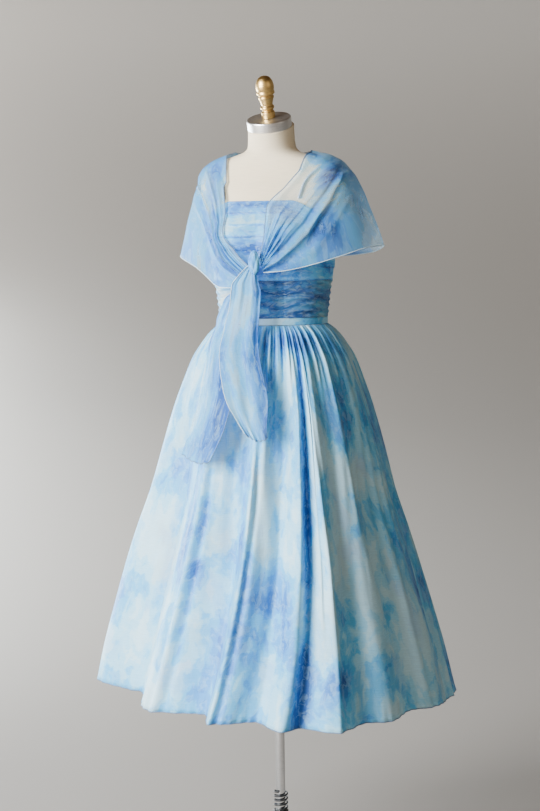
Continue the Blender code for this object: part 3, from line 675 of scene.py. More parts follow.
def closed_rings(points):
    """Quads between rings of points, and a fan of triangles from each end ring to its middle."""
    rows, columns = points.shape[:2]
    ends = [points[0].mean(axis=0), points[-1].mean(axis=0)]
    every = np.concatenate([points.reshape(-1, 3), ends])
    quads = grid_quads(rows, columns, True)
    turned_over = outward(every, quads, every.mean(axis=0))[0, 0] != quads[0, 0]
    here = np.arange(columns)
    there = (here + 1) % columns
    top = (rows - 1) * columns
    low = together(there, here, len(every) - 2)
    high = together(top + here, top + there, len(every) - 1)
    fans = np.concatenate([low, high])
    if turned_over:
        quads, fans = quads[:, ::-1], fans[:, ::-1]
    return every, quads.tolist() + fans.tolist()


def stands_for(piece, *nodes):
    """The piece moves with the one body and takes the place of these solids."""
    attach(piece, "root")
    if nodes:
        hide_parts(*nodes)
    return piece


points, faces = closed_rings(torso_points(128, 150))
torso = stands_for(make_piece("linen_torso", points, faces, linen), "form_torso")
print("torso:", len(faces), "faces")

# %% [markdown]
# The cap, the finial and the stand are turned on a lathe, so each is a profile carried round an
# axis. A lathe leaves no truly sharp edge: a corner of the profile is rounded by a small arc. The
# cap and finial are turned about their own axis and then leaned forward with the neck.


# %% Turned pieces
SEAM_GAP = 0.0003  # between neighbouring pieces


def rounded(profile, radius, steps=4):
    """A profile with each inner corner cut by a quadratic arc that starts and ends at most
    radius away from it, and at most 0.45 of the way to the next corner."""
    before, here, after = profile[:-2], profile[1:-1], profile[2:]
    back, on = before - here, after - here
    back_length = np.linalg.norm(back, axis=1, keepdims=True)
    on_length = np.linalg.norm(on, axis=1, keepdims=True)
    start = here + back * np.minimum(radius / back_length, 0.45)
    end = here + on * np.minimum(radius / on_length, 0.45)
    t = np.linspace(0, 1, steps + 1)[:, None, None]
    arcs = (1 - t) ** 2 * start + 2 * t * (1 - t) * here + t**2 * end
    return np.concatenate([profile[:1], arcs.transpose(1, 0, 2).reshape(-1, 2), profile[-1:]])


def turned(name, profile, corner, finish, on_neck=None, sides=96):
    """A profile of radii and heights carried round the pole's axis, or round the neck's."""
    profile = rounded(np.array(profile, float), corner)
    points = cylinder(profile[:, :1], all_round(sides), profile[:, 1:])
    if on_neck is not None:
        x, y, z = np.moveaxis(points, -1, 0)
        z = z + on_neck
        lean_y = y * np.cos(NECK_TILT) - z * np.sin(NECK_TILT)
        lean_z = y * np.sin(NECK_TILT) + z * np.cos(NECK_TILT)
        points = together(x, lean_y + NECK_TOP_Y, lean_z + NECK_TOP_Z)
    return make_piece(name, *closed_rings(points), finish)


CAP_RADIUS, CAP_HEIGHT = 0.0470, 0.0215
AXIS = 0.0001  # the radius at which a profile ends, beside its axis
cap_profile = [
    (AXIS, 0), (CAP_RADIUS - 0.0008, 0), (CAP_RADIUS, 0.0010), (CAP_RADIUS, CAP_HEIGHT - 0.0030),
    (CAP_RADIUS - 0.0012, CAP_HEIGHT - 0.0006), (CAP_RADIUS - 0.0045, CAP_HEIGHT),
    (AXIS, CAP_HEIGHT),
]
cap = turned("steel_neck_cap", cap_profile, 0.0010, steel, SEAM_GAP, 128)
stands_for(cap, "form_neck_cap")

finial_profile = [
    (AXIS, 0.0), (0.0140, 0.0), (0.0143, 0.0020), (0.0143, 0.0130), (0.0118, 0.0150),
    (0.0112, 0.0170), (0.0145, 0.0198), (0.0148, 0.0222), (0.0143, 0.0246), (0.0120, 0.0268),
    (0.0122, 0.0295),
    (0.0142, 0.0370), (0.0166, 0.0434), (0.0166, 0.0452), (0.0150, 0.0470), (0.0152, 0.0486),
    (0.0190, 0.0512), (0.0194, 0.0538), (0.0190, 0.0563), (0.0176, 0.0585), (0.0188, 0.0610),
    (0.0193, 0.0650), (0.0190, 0.0700), (0.0178, 0.0755), (0.0154, 0.0810), (0.0118, 0.0855),
    (0.0070, 0.0882), (AXIS, 0.0892),
]
on_cap = CAP_HEIGHT + 2 * SEAM_GAP
stands_for(turned("brass_finial", finial_profile, 0.0012, brass, on_cap, 72), "form_finial")

POLE_RADIUS, POLE_FOOT_Z, POLE_TOP_Z = 0.0100, 0.1503, 0.9847
pole_profile = [
    (AXIS, POLE_FOOT_Z), (POLE_RADIUS - 0.0004, POLE_FOOT_Z), (POLE_RADIUS, POLE_FOOT_Z + 0.0005),
    (POLE_RADIUS, POLE_TOP_Z - 0.0005), (POLE_RADIUS - 0.0004, POLE_TOP_Z), (AXIS, POLE_TOP_Z),
]
stands_for(turned("chrome_pole", pole_profile, 0.0004, chrome, sides=48), "stand_pole")
column_profile = [
    (AXIS, 0.0463), (0.0165, 0.0463), (0.0165, 0.0560), (0.0158, 0.0575), (0.0158, 0.1360),
    (0.0165, 0.1375), (0.0165, 0.1485), (0.0150, 0.1500), (AXIS, 0.1500),
]
stands_for(turned("black_column", column_profile, 0.0008, black, sides=64), "stand_column")
base_profile = [
    (AXIS, 0.0), (0.2010, 0.0), (0.2050, 0.0040), (0.2050, 0.0100), (0.1970, 0.0160),
    (0.1750, 0.0180), (0.1200, 0.0240), (0.0800, 0.0285), (0.0500, 0.0340), (0.0360, 0.0390),
    (0.0300, 0.0460), (AXIS, 0.0460),
]
base = stands_for(turned("black_base", base_profile, 0.0030, black, sides=160), "stand_base")
print("base:", len(base.data.polygons), "faces")


# %% The coil on the pole
def tube_points(path, radius, sides, beside):
    """Rings of points round a path. Each ring is square to the path: its first axis is beside,
    less the part of it that runs along the path, and its second is the cross product of both."""
    along = np.gradient(path, axis=0)
    along /= np.linalg.norm(along, axis=1, keepdims=True)
    side = beside - (beside * along).sum(axis=1, keepdims=True) * along
    side /= np.linalg.norm(side, axis=1, keepdims=True)
    up = np.cross(along, side)
    turn = all_round(sides)[:, None]
    reach = np.broadcast_to(radius, len(path))[:, None, None]
    return path[:, None] + reach * (np.cos(turn) * side[:, None] + np.sin(turn) * up[:, None])


def tube(name, path, radius, sides, finish, beside):
    """A round tube along a path, closed at both ends."""
    return make_piece(name, *closed_rings(tube_points(path, radius, sides, beside)), finish)


COIL_TURNS = 4
COIL_RADIUS, COIL_PITCH, WIRE_RADIUS = 0.0143, 0.0098, 0.0019
turn = np.linspace(0, 2 * np.pi * COIL_TURNS, 48 * COIL_TURNS + 1)
path = cylinder(COIL_RADIUS, turn, POLE_FOOT_Z + WIRE_RADIUS + COIL_PITCH * turn / (2 * np.pi))
coil = tube("black_coil", path, WIRE_RADIUS, 12, black, path * (1, 1, 0))
stands_for(coil, "stand_spring")
print("coil:", len(coil.data.polygons), "faces")

# %% [markdown]
# ## The skirt
# A full skirt is flared panels gathered to the waist. Near the band the cloth stands in dozens of
# small gathers. Lower down these die out and a few deep flutes take over, because the hem is much
# longer than the circle it hangs from. The surface is a radius for every turn and height: an
# envelope from a table, sunk between the flutes in step with the hem's own table, plus the gathers
# as a wave that fades with depth. Cloth simulation could drop a disc of cloth over the form, but a
# formula puts each flute where it hangs on the real dress.

# %% The skirt's tables
WAIST_Z = 1.2080
SKIRT_TOP_Z = WAIST_Z - SEAM_GAP
HEM_Z = 0.425
HEM_RADIUS = 0.385
GATHERS = 45

# The skirt's envelope, how much of the hem's folds it has at a height, and its gathers' depth.
SKIRT = table(
    "z width front back flute gather",
    (SKIRT_TOP_Z, 0.1172, 0.1020, 0.0815, 0.00, 0.0016),
    (1.1930, 0.1330, 0.1240, 0.1060, 0.05, 0.0034),
    (1.1650, 0.1530, 0.1470, 0.1320, 0.12, 0.0046),
    (1.1380, 0.1700, 0.1670, 0.1560, 0.19, 0.0046),
    (1.0900, 0.1900, 0.1890, 0.1820, 0.29, 0.0040),
    (1.0380, 0.2090, 0.2090, 0.2050, 0.39, 0.0032),
    (0.9480, 0.2350, 0.2350, 0.2350, 0.55, 0.0018),
    (0.8500, 0.2620, 0.2620, 0.2620, 0.70, 0.0008),
    (0.7740, 0.2870, 0.2870, 0.2870, 0.80, 0.0000),
    (0.7000, 0.3100, 0.3100, 0.3100, 0.87, 0.0000),
    (0.6030, 0.3390, 0.3390, 0.3390, 0.93, 0.0000),
    (0.5100, 0.3650, 0.3650, 0.3650, 0.98, 0.0000),
    (HEM_Z, HEM_RADIUS, HEM_RADIUS, HEM_RADIUS, 1.00, 0.0000),
)

# The hem's flutes, crest and trough in turn: the radius there and how far the hem drops.
HEM_FOLDS = table(
    "turn radius drop",
    (-80, 0.402, -0.010),
    (-57, 0.300, -0.004),
    (-36, 0.338, 0.001),
    (-14, 0.290, 0.000),
    (-5, 0.350, 0.001),
    (9, 0.316, 0.000),
    (19, 0.378, 0.004),
    (24, 0.352, 0.004),
    (35, 0.397, 0.006),
    (46, 0.366, 0.002),
    (54, 0.378, 0.004),
    (65, 0.362, -0.003),
    (79, 0.378, 0.003),
    (90, 0.370, 0.009),
    (106, 0.381, 0.011),
    (121, 0.330, 0.002),
    (135, 0.389, 0.002),
    (148, 0.318, -0.002),
    (161, 0.384, 0.003),
    (173, 0.330, 0.000),
    (186, 0.392, 0.004),
    (199, 0.312, -0.002),
    (211, 0.383, 0.002),
    (223, 0.326, 0.000),
    (237, 0.389, 0.003),
    (247, 0.312, -0.002),
    (257, 0.380, 0.002),
    (267, 0.332, 0.000),
)


def hem_fold(column, turn):
    """The hem table's column at a turn, swinging from crest to trough and back round the hem."""
    turns, values = HEM_FOLDS["turn"], HEM_FOLDS[column]
    turns, values = np.append(turns, turns[0] + 360), np.append(values, values[0])
    degrees = (np.degrees(turn) - turns[0]) % 360 + turns[0]
    i = np.clip(np.searchsorted(turns, degrees, side="right") - 1, 0, len(turns) - 2)
    part = (degrees - turns[i]) / (turns[i + 1] - turns[i])
    return values[i] + (values[i + 1] - values[i]) * (1 - np.cos(np.pi * part)) / 2


def gather_phase(turn):
    """Counts the gathers round the waist, a little unevenly."""
    return GATHERS * turn + 0.9 * np.sin(3 * turn) + 0.6 * np.sin(5 * turn + 1.0)


print("flutes:", len(HEM_FOLDS["turn"]) // 2, "gathers:", GATHERS)


# %% The flutes' swing
# How many degrees a flute has swung round where it comes up from the hem, by its turn at the hem:
# on the dress's front they hang straight down and don't point at the pole.
SWEEP = table(
    "turn degrees",
    (-90, 0),
    (-45, 12),
    (-31, 12),
    (-5, 18),
    (8, 18),
    (24, 14),
    (36, 4),
    (50, 0),
    (90, 0),
)
SWEEP_HEIGHT = 0.45  # in which a flute makes most of its swing

# Fold edges: a step in the cloth, out on one side and in on the other, between two heights.
FOLD_EDGES = table(
    "turn high wide top foot",
    (-62, 0.0040, 1.6, 0.95, HEM_Z),
    (-31, 0.0062, 1.5, 1.00, HEM_Z),
    (-5, 0.0060, 1.3, 1.02, HEM_Z),
    (13, 0.0022, 1.1, 1.10, 0.600),
    (20, 0.0026, 1.0, 1.20, 0.780),
    (31, 0.0034, 1.1, 1.20, 0.640),
    (36.5, 0.0042, 1.2, 0.95, HEM_Z),
    (58, 0.0024, 1.6, 1.17, 0.760),
    (75, 0.0026, 1.8, 0.85, HEM_Z),
    (98, 0.0042, 1.6, 1.00, HEM_Z),
    (128, 0.0052, 1.6, 1.05, HEM_Z),
    (153, 0.0040, 1.4, 1.10, HEM_Z),
    (180, 0.0054, 1.6, 1.02, HEM_Z),
    (206, 0.0044, 1.4, 1.08, HEM_Z),
    (230, 0.0050, 1.6, 0.98, HEM_Z),
    (252, 0.0040, 1.5, 1.00, HEM_Z),
)


def swept(z, hem_turn):
    """The turn, at a height, of the flute that meets the hem at hem_turn."""
    rise = 1 - np.exp(-(z - HEM_Z) / SWEEP_HEIGHT)
    degrees = follow(SWEEP, "degrees", signed_turn(hem_turn), key="turn")
    return hem_turn + np.radians(degrees) * rise


print("fold edges:", len(FOLD_EDGES["turn"]))


# %% The skirt's surface
def skirt_gathers(z, turn):
    """The gathers' height: a wave with narrower crests than troughs, uneven from one to the next,
    with finer gathers between them. They fade within 150 mm of the band, and some run further
    down. On the wearer's left side the cloth is pulled smoother."""
    phase = gather_phase(turn)
    uneven = 1 + 0.35 * np.sin(11 * turn + 0.5) * np.sin(4 * turn)
    smooth_side = 1 - 0.55 * np.exp(-(((signed_turn(turn) - 82) / 30) ** 2))
    near_band = np.clip((z - 1.02) / 0.14, 0, 1)
    wave = np.cos(phase) + 0.34 * np.cos(2 * phase + 1.5 * np.sin(3 * turn))
    wave = wave + 0.50 * np.cos(2.37 * phase + 2 * np.sin(5 * turn)) * near_band
    long_one = np.clip(np.cos(phase * 0.4 + 2 * np.sin(2 * turn)), 0, 1) ** 2
    fading = follow(SKIRT, "gather", z) * (0.18 + 0.42 * near_band)
    lower = 0.0013 * np.exp(-(((z - 1.06) / 0.12) ** 2)) * long_one
    return smooth_side * (fading * uneven * wave + lower * np.cos(phase))


def fold_edges(z, turn):
    """Adds up the steps: each is minus x times a bell curve of x, where x is the turn from the
    fold's line in its own widths. It fades in over 160 mm below its top and ends at its foot."""
    total = 0 * z + 0 * turn
    for line, high, wide, top, foot in zip(*FOLD_EDGES.values()):
        x = degrees_from(turn, line) / wide
        grown = np.clip((top - z) / 0.16, 0, 1) * np.clip((z - foot) / 0.10 + 1, 0, 1)
        total = total - high * x * np.exp(0.5 - x * x / 2) * grown
    return total


def skirt_creases(z, turn):
    """Small long creases: sines in turn that drift with height, strongest at mid height, and a
    ripple in the last 30 mm above the rolled hem."""
    fall = (WAIST_Z - z) / (WAIST_Z - HEM_Z)
    drift = turn + 0.05 * np.sin(7 * fall + 3 * turn)
    creases = np.sin(31 * drift + 2.0 * np.sin(5 * drift)) * np.sin(9 * drift + 1.0)
    creases = creases + 0.6 * np.sin(53 * drift + 1.3 * np.sin(4 * drift + 6 * fall))
    ripple = np.sin(95 * turn + 3 * np.sin(6 * turn)) * np.exp(-(z - HEM_Z) / 0.016)
    return 0.0015 * np.sin(np.pi * np.clip(fall, 0, 1)) * creases + 0.0013 * ripple


def skirt_points(z, hem_turn):
    """The skirt's outer face: its envelope, sunk between the flutes, with the gathers, the fold
    edges and the creases."""
    turn = swept(z, hem_turn)
    flute = follow(SKIRT, "flute", z)
    sunk = (HEM_RADIUS - hem_fold("radius", hem_turn)) * flute
    fine = skirt_gathers(z, hem_turn) + skirt_creases(z, hem_turn) + fold_edges(z, hem_turn)
    drop = hem_fold("drop", hem_turn) * flute**2
    return cylinder(oval(SKIRT, z, turn) - sunk + fine, turn, z - drop)


# %% The skirt's two halves
CLOTH = 0.0006  # the cloth's own thickness


def sheet_area(points):
    """Area of one layer: half the cross product of each quad's diagonals, added up."""
    cross = np.cross(points[1:, 1:] - points[:-1, :-1], points[1:, :-1] - points[:-1, 1:])
    return float(np.linalg.norm(cross, axis=-1).sum() / 2)


def cloth_sheet(name, points, finish, uv, depth):
    """A thin cloth: the grid gets its wall inwards from a Solidify modifier."""
    flat_points = points.reshape(-1, 3)
    middle = np.array([0, 0, flat_points[:, 2].mean()])
    quads = outward(flat_points, grid_quads(*points.shape[:2]), middle)
    piece = make_piece(name, flat_points, quads.tolist(), finish, uv.reshape(-1, 2), depth)
    wall = piece.modifiers.new("thickness", "SOLIDIFY")
    wall.thickness = CLOTH
    wall.offset = -1
    print(name, points.shape[:2], "points, area", round(sheet_area(points), 3), "m2")
    return piece


def blots(u, v, *rows, apart=degrees_from):
    """Soft oval shifts in the print's depth: each is a bell curve in two directions of the sheet.
    The first is a turn, unless apart measures it in another way."""
    total = 0 * u + 0 * v
    for at_u, at_v, wide, tall, much in rows:
        away = (apart(u, at_u) / wide) ** 2 + ((v - at_v) / tall) ** 2
        total = total + much * np.exp(-away)
    return total


# Where the print is deeper or paler: the patch's middle, its half width in degrees, its half
# height and how much.
SKIRT_PATCHES = table(
    "turn z wide tall much",
    (-50, 0.54, 17, 0.11, -0.28),
    (-45, 0.76, 10, 0.09, -0.22),
    (-31, 0.79, 6, 0.07, 0.32),
    (-34, 0.60, 4, 0.09, 0.14),
    (-15, 0.73, 8, 0.11, -0.26),
    (-9, 0.62, 6, 0.035, 0.16),
    (-10, 0.51, 7, 0.035, 0.12),
    (-17, 0.90, 8, 0.05, -0.22),
    (0, 0.80, 5, 0.07, 0.26),
    (4, 0.58, 5, 0.09, 0.24),
    (10, 0.84, 5, 0.08, -0.12),
    (17, 0.66, 8, 0.05, 0.28),
    (21, 0.58, 4, 0.06, 0.26),
    (13, 0.53, 5, 0.05, -0.16),
    (25, 0.90, 3, 0.12, -0.26),
    (36, 0.70, 4, 0.07, -0.16),
    (41, 0.84, 6, 0.06, 0.16),
    (35, 0.51, 6, 0.045, 0.26),
    (62, 0.90, 14, 0.035, -0.34),
    (80, 0.82, 10, 0.030, 0.12),
    (60, 1.02, 14, 0.05, 0.10),
    (90, 0.985, 8, 0.022, 0.30),
    (70, 1.16, 18, 0.028, 0.20),
    (45, 1.08, 9, 0.06, -0.10),
    (52, 0.68, 9, 0.06, -0.12),
    (52, 0.52, 9, 0.045, 0.12),
    (77, 0.60, 9, 0.08, -0.24),
    (66, 0.80, 20, 0.20, -0.10),
    (95, 0.66, 7, 0.05, 0.26),
    (108, 0.47, 11, 0.05, 0.28),
    (14, 1.10, 4, 0.030, 0.28),
    (32, 1.178, 28, 0.030, 0.60),
    (-30, 1.16, 14, 0.03, 0.18),
    (-34, 1.06, 16, 0.05, -0.16),
    (190, 0.70, 25, 0.12, 0.18),
    (150, 0.95, 20, 0.10, 0.18),
    (230, 0.55, 20, 0.10, 0.16),
    (210, 0.90, 18, 0.12, -0.22),
    (170, 0.52, 16, 0.08, -0.22),
    (258, 0.85, 12, 0.09, 0.16),
)
FOLD_SHADE = {"turn": 24.0, "wide": 2.4, "much": 0.50}  # painted shade down one deep fold


def make_skirt(name, middle, columns, rows):
    """Half the skirt from side seam to side seam. Rows are closer together at the gathers. The
    print is made deeper in the troughs of the flutes and gathers and paler on the gathers' crests:
    painted shade and highlight."""
    hem_turn = half_round(middle, columns)
    fall = np.linspace(0, 1, rows)[:, None]
    z = SKIRT_TOP_Z - (SKIRT_TOP_Z - HEM_Z) * (0.35 * fall + 0.65 * fall**1.6)
    points = skirt_points(z, hem_turn)
    along_hem = arc_length(points[-1])
    uv = together(along_hem + middle, 1.05 * z)
    # Painted shade and highlight: the print is deeper in the troughs of the flutes and gathers,
    # down one deep fold and on the shaded side of each fold edge, and paler on the gathers' crests
    # and the lit side of each fold edge.
    sunk = follow(SKIRT, "flute", z) * (HEM_RADIUS - hem_fold("radius", hem_turn)) / 0.095
    gathered = skirt_gathers(z, hem_turn) * np.clip((z - 1.03) / 0.12, 0, 1)
    depth = 0.16 * sunk - 0.06 - 60 * gathered
    x = degrees_from(hem_turn, FOLD_SHADE["turn"]) / FOLD_SHADE["wide"]
    depth = depth + FOLD_SHADE["much"] * np.exp(-(x**2)) * np.clip((1.19 - z) / 0.05, 0, 1)
    depth = depth - 22 * fold_edges(z, hem_turn)
    depth = depth + blots(swept(z, hem_turn), z, *zip(*SKIRT_PATCHES.values()))
    print(name, "hem", round(float(along_hem[-1]), 3), "m")
    return cloth_sheet(name, points, skirt_cloth, uv, depth), points


skirt_front, front_points = make_skirt("skirt_front_panel", 0.0, 361, 116)
skirt_back, back_points = make_skirt("skirt_back_panel", np.pi, 241, 90)
stands_for(skirt_front, "skirt_front")
stands_for(skirt_back, "skirt_back")

# %% [markdown]
# ## Bodice, midriff and waistband
# The strapless bodice is laid in flat horizontal tucks: each one hangs a little over the next, so
# in section it is a saw-tooth. The midriff is one piece of cloth drawn up on vertical lines of
# small running stitches, which leaves soft ridges that pinch together at each line. The band is
# plain. All three are the form's own section moved out, so they sit on it as worn cloth does.

# %% The tucks and ridges
BAND_TOP_Z = 1.2225
MIDRIFF_TOP_Z = 1.2995
BODICE_TOP_Z = 1.4660
BODICE_SIDE_DROP = 0.036
BODICE_BACK_DROP = 0.046
MIDRIFF_RIDGES = 6
SHIRRING_TURNS = (29, 90)
EASE = 0.0022  # between the form and the cloth on it
WALL = 0.0015  # of the solids that the fine cloth stands for

# The bodice's tucks at the front centre, each lying over the next one down.
TUCKS = table(
    "top bottom proud",
    (1.4660, 1.4400, 0.0016),
    (1.4400, 1.4155, 0.0016),
    (1.4155, 1.3910, 0.0018),
    (1.3910, 1.3640, 0.0018),
    (1.3640, 1.3330, 0.0018),
    (1.3330, 1.2998, 0.0014),
)


def bodice_top(turn):
    """Height of the bodice's top edge: level in front, dipping under the arms and at the back."""
    side, back = BODICE_SIDE_DROP, BODICE_BACK_DROP
    rows = table("turn drop", (0, 0), (38, 0), (72, side), (110, back), (180, back))
    return BODICE_TOP_Z - follow(rows, "drop", np.abs(signed_turn(turn)), key="turn")


def tuck_height(level):
    """How proud a tuck stands at a level of the front: it grows from its top to its lower edge,
    then steps back within a millimetre to the tuck below."""
    top, bottom, proud = (TUCKS[key][:, None] for key in ("top", "bottom", "proud"))
    levels = np.hstack([top - 0.0002, bottom + 0.0060, bottom + 0.0012, bottom + 0.0003])
    heights = np.hstack([0 * proud + 0.0001, proud, proud * 1.1, proud * 0.6])
    return np.interp(level, levels.ravel()[::-1], heights.ravel()[::-1])


def soft_puckers(turn, z, fine):
    """Small uneven pulls in a worn cloth: two sine products that drift against each other."""
    first = np.sin(fine * turn + 90 * z) * np.sin(0.61 * fine * turn - 140 * z + 1)
    return first + 0.5 * np.sin(1.7 * fine * turn + 210 * z + 2 * np.sin(60 * z))


def on_form(turn, z, proud):
    """The form's section moved out by the ease, the wall and how proud the cloth stands."""
    return cylinder(body_radius(z, turn) + (EASE + WALL + proud), turn, z)


def bodice_points(turn, level):
    """The cloth's place with its tucks and puckers. A level of the front becomes a height by
    stretching it between the midriff seam and the top edge, which dips at the sides."""
    foot = MIDRIFF_TOP_Z + SEAM_GAP
    tall = BODICE_TOP_Z - foot
    stretch = (bodice_top(turn) - foot) / tall
    wander = 0.0011 * np.sin(5 * turn + 260 * level) * np.sin(np.pi * (level - foot) / tall)
    proud = tuck_height(level + wander) + 0.00022 * soft_puckers(turn, level, 17)
    z = foot + (level - foot) * stretch
    return on_form(turn, z, proud)


def midriff_ridges(turn, z):
    """Soft ridges across the midriff. Each swings a little up and down with turn, and near a
    shirring line all of them sink and break into finer ones."""
    rise = (z - BAND_TOP_Z) / (MIDRIFF_TOP_Z - BAND_TOP_Z)
    phase = MIDRIFF_RIDGES * (rise + 0.05 * np.sin(5 * turn) + 0.02 * np.sin(13 * turn + 2))
    wave = (0.5 + 0.5 * np.cos(2 * np.pi * phase)) ** 1.6
    aside = np.abs(signed_turn(turn))
    near = np.min([np.abs(aside - line) for line in SHIRRING_TURNS], axis=0)
    drawn = 0.25 + 0.75 * np.clip(near / 10, 0, 1) ** 0.7
    fine = 0.0007 * np.sin(2 * np.pi * 2.4 * phase + 3 * np.sin(9 * turn))
    fine = fine * np.exp(-((near / 7) ** 2))
    groove = -0.0007 * np.exp(-((near / 0.8) ** 2))
    return 0.0024 * wave * drawn + fine + groove + 0.0002 * soft_puckers(turn, z, 23)


print("tucks:", len(TUCKS["top"]), "ridges:", MIDRIFF_RIDGES)


# %% Bodice, midriff and band
def make_bodice(name, middle, columns, rows, *colour_blots):
    """Half the bodice, with rows close enough together for each tuck's edge."""
    turn = half_round(middle, columns)
    level = np.linspace(BODICE_TOP_Z, MIDRIFF_TOP_Z + SEAM_GAP, rows)[:, None]
    depth = blots(turn, level, *colour_blots)
    # Painted shade: the print is made deeper in a narrow band just under each tuck's lower edge.
    for edge in TUCKS["bottom"]:
        depth = depth + 0.26 * np.exp(-(((level - edge - 0.0010) / 0.0022) ** 2))
    uv = together(0.145 * turn, 1.6 * level)
    return cloth_sheet(name, bodice_points(turn, level), bodice_cloth, uv, depth)


def make_midriff(name, middle, columns, rows, depth_shift):
    """Half the midriff, its print deeper on three level lines."""
    turn = half_round(middle, columns)
    z = np.linspace(MIDRIFF_TOP_Z, BAND_TOP_Z + SEAM_GAP, rows)[:, None]
    rise = (z - BAND_TOP_Z) / (MIDRIFF_TOP_Z - BAND_TOP_Z)
    lines = 0.12 * np.sin(2 * np.pi * 3 * rise + 2 * np.sin(4 * turn))
    depth = blots(turn, z, (-45, 1.27, 22, 0.05, -0.42), (78, 1.24, 10, 0.02, -0.30))
    depth = depth_shift + lines + depth
    uv = together(0.125 * turn, 2.2 * z)
    return cloth_sheet(name, on_form(turn, z, midriff_ridges(turn, z)), midriff_cloth, uv, depth)


def make_band(name, middle):
    """Half the waistband: a flat fold of cloth, rounded over at its two long edges."""
    turn = half_round(middle, 181)
    part = np.linspace(0, 1, 22)[:, None]
    z = BAND_TOP_Z + (WAIST_Z - BAND_TOP_Z) * part
    edge = 0.0007 * (1 - (2 * part - 1) ** 12)
    proud = edge - 0.0002 + 0.00015 * np.sin(61 * turn + 9 * part)
    uv = together(0.117 * turn, z)
    return cloth_sheet(name, on_form(turn, z, proud), band_cloth, uv, 0 * (turn + z))


bodice_front = make_bodice(
    "bodice_front_tucked", 0.0, 151, 150,
    (-6, 1.460, 30, 0.008, 0.24), (-14, 1.428, 22, 0.020, -0.12), (-12, 1.368, 38, 0.022, 0.50),
    (36, 1.43, 20, 0.040, 0.38), (0, 1.322, 60, 0.020, 0.40),
)
bodice_back = make_bodice("bodice_back_tucked", np.pi, 91, 110, (200, 1.40, 30, 0.03, 0.15))
midriff_front = make_midriff("midriff_front_ruched", 0.0, 221, 84, 0.26)
midriff_back = make_midriff("midriff_back_ruched", np.pi, 121, 70, 0.20)
band_front = make_band("waistband_front_fold", 0.0)
band_back = make_band("waistband_back_fold", np.pi)
for piece, solid in (
    (bodice_front, "bodice_front"), (bodice_back, "bodice_back"),
    (midriff_front, "midriff_front"), (midriff_back, "midriff_back"),
    (band_front, "waistband_front"), (band_back, "waistband_back"),
):
    stands_for(piece, solid)

# %% [markdown]
# ## Straps
# Each strap is a narrow tube of cloth turned inside out, so it is round with a faint twist. It runs
# from the bodice's edge over the shoulder, a hair above the form. The path is read from a table of
# turns and heights and lifted along the form's own normal.

# %% The straps
STRAP_RADIUS = 0.0023
STRAP_LIFT = 0.0010

STRAP = table(
    "along turn z",
    (0.00, 47, 1.4690),
    (0.15, 54, 1.4950),
    (0.30, 66, 1.5230),
    (0.42, 82, 1.5430),
    (0.52, 100, 1.5470),
    (0.64, 120, 1.5360),
    (0.78, 138, 1.5000),
    (0.90, 146, 1.4550),
    (1.00, 149, 1.4235),
)


def surface_point(z, turn):
    """A point of the form's surface."""
    return cylinder(body_radius(z, turn), turn, z)


def off_body(z, turn, away):
    """Points at a distance from the form, measured along its surface's normal."""
    step = 0.002
    round_it = surface_point(z, turn + step) - surface_point(z, turn - step)
    up = surface_point(z + step, turn) - surface_point(z - step, turn)
    normal = np.cross(round_it, up)
    normal /= np.linalg.norm(normal, axis=-1, keepdims=True)
    return surface_point(z, turn) + away * normal


def make_strap(name, side):
    """A rolled strap: a tube whose radius swells softly along it."""
    part = np.linspace(0, 1, 140)
    turn = np.radians(follow(STRAP, "turn", part, key="along"))
    z = follow(STRAP, "z", part, key="along")
    path = off_body(z, turn, STRAP_RADIUS + STRAP_LIFT) * (side, 1, 1)
    radius = STRAP_RADIUS * (0.94 + 0.06 * np.sin(90 * part))
    beside = np.array([side * 0.3, -1.0, 0.4]) + 0 * path
    return tube(name, path, radius, 14, strap_cloth, beside)


strap_cloth = thread("rolled_strap_cloth", (0.36, 0.48, 0.60), 260.0)
for side, place in ((1, "left"), (-1, "right")):
    strap = stands_for(make_strap("strap_" + place + "_rolled", side), "strap_" + place)
    print(strap.name, len(strap.data.polygons), "faces")

# %% [markdown]
# ## The stole
# The stole is one long strip of the sheer cloth. It lies round the shoulders, falls over the upper
# arms in two wings and is gathered to the front, where its ends are tied. Each section across the
# strip is a conic arc: it starts at the neck edge, bends over a shoulder line that pulls it close,
# and ends at the hem. Distances from the pole are eased in at the centre back, so both halves meet
# without a ridge. Folds run lengthwise. They are shallow at the back and sharpen towards the
# knot, where the whole width is squeezed into a few centimetres. A simulation could drape the
# strip, but the tied fold pattern is what the eye reads first, so it is placed one by one.

# %% The stole's sections
STOLE_COLUMNS = "along neck_turn neck_r neck_z over_turn over_r over_z hem_turn hem_r hem_z"
STOLE_LEFT = table(
    STOLE_COLUMNS,
    (0, 180, 0.080, 1.558, 180, 0.118, 1.540, 180, 0.150, 1.346),
    (1, 150, 0.081, 1.562, 150, 0.150, 1.548, 152, 0.182, 1.347),
    (2, 120, 0.082, 1.568, 121, 0.169, 1.556, 122, 0.216, 1.355),
    (3, 94, 0.086, 1.571, 96, 0.173, 1.558, 97, 0.237, 1.371),
    (4, 76, 0.092, 1.562, 78, 0.171, 1.548, 80, 0.222, 1.367),
    (5, 57, 0.097, 1.534, 60, 0.157, 1.520, 66, 0.198, 1.353),
    (6, 34.5, 0.098, 1.497, 42, 0.142, 1.480, 52, 0.178, 1.339),
    (7, 11.5, 0.110, 1.452, 27, 0.140, 1.435, 38, 0.162, 1.328),
    (8, 9.5, 0.130, 1.394, 15, 0.147, 1.385, 23, 0.153, 1.321),
    (9, 7, 0.148, 1.347, 8, 0.152, 1.334, 10, 0.149, 1.319),
)
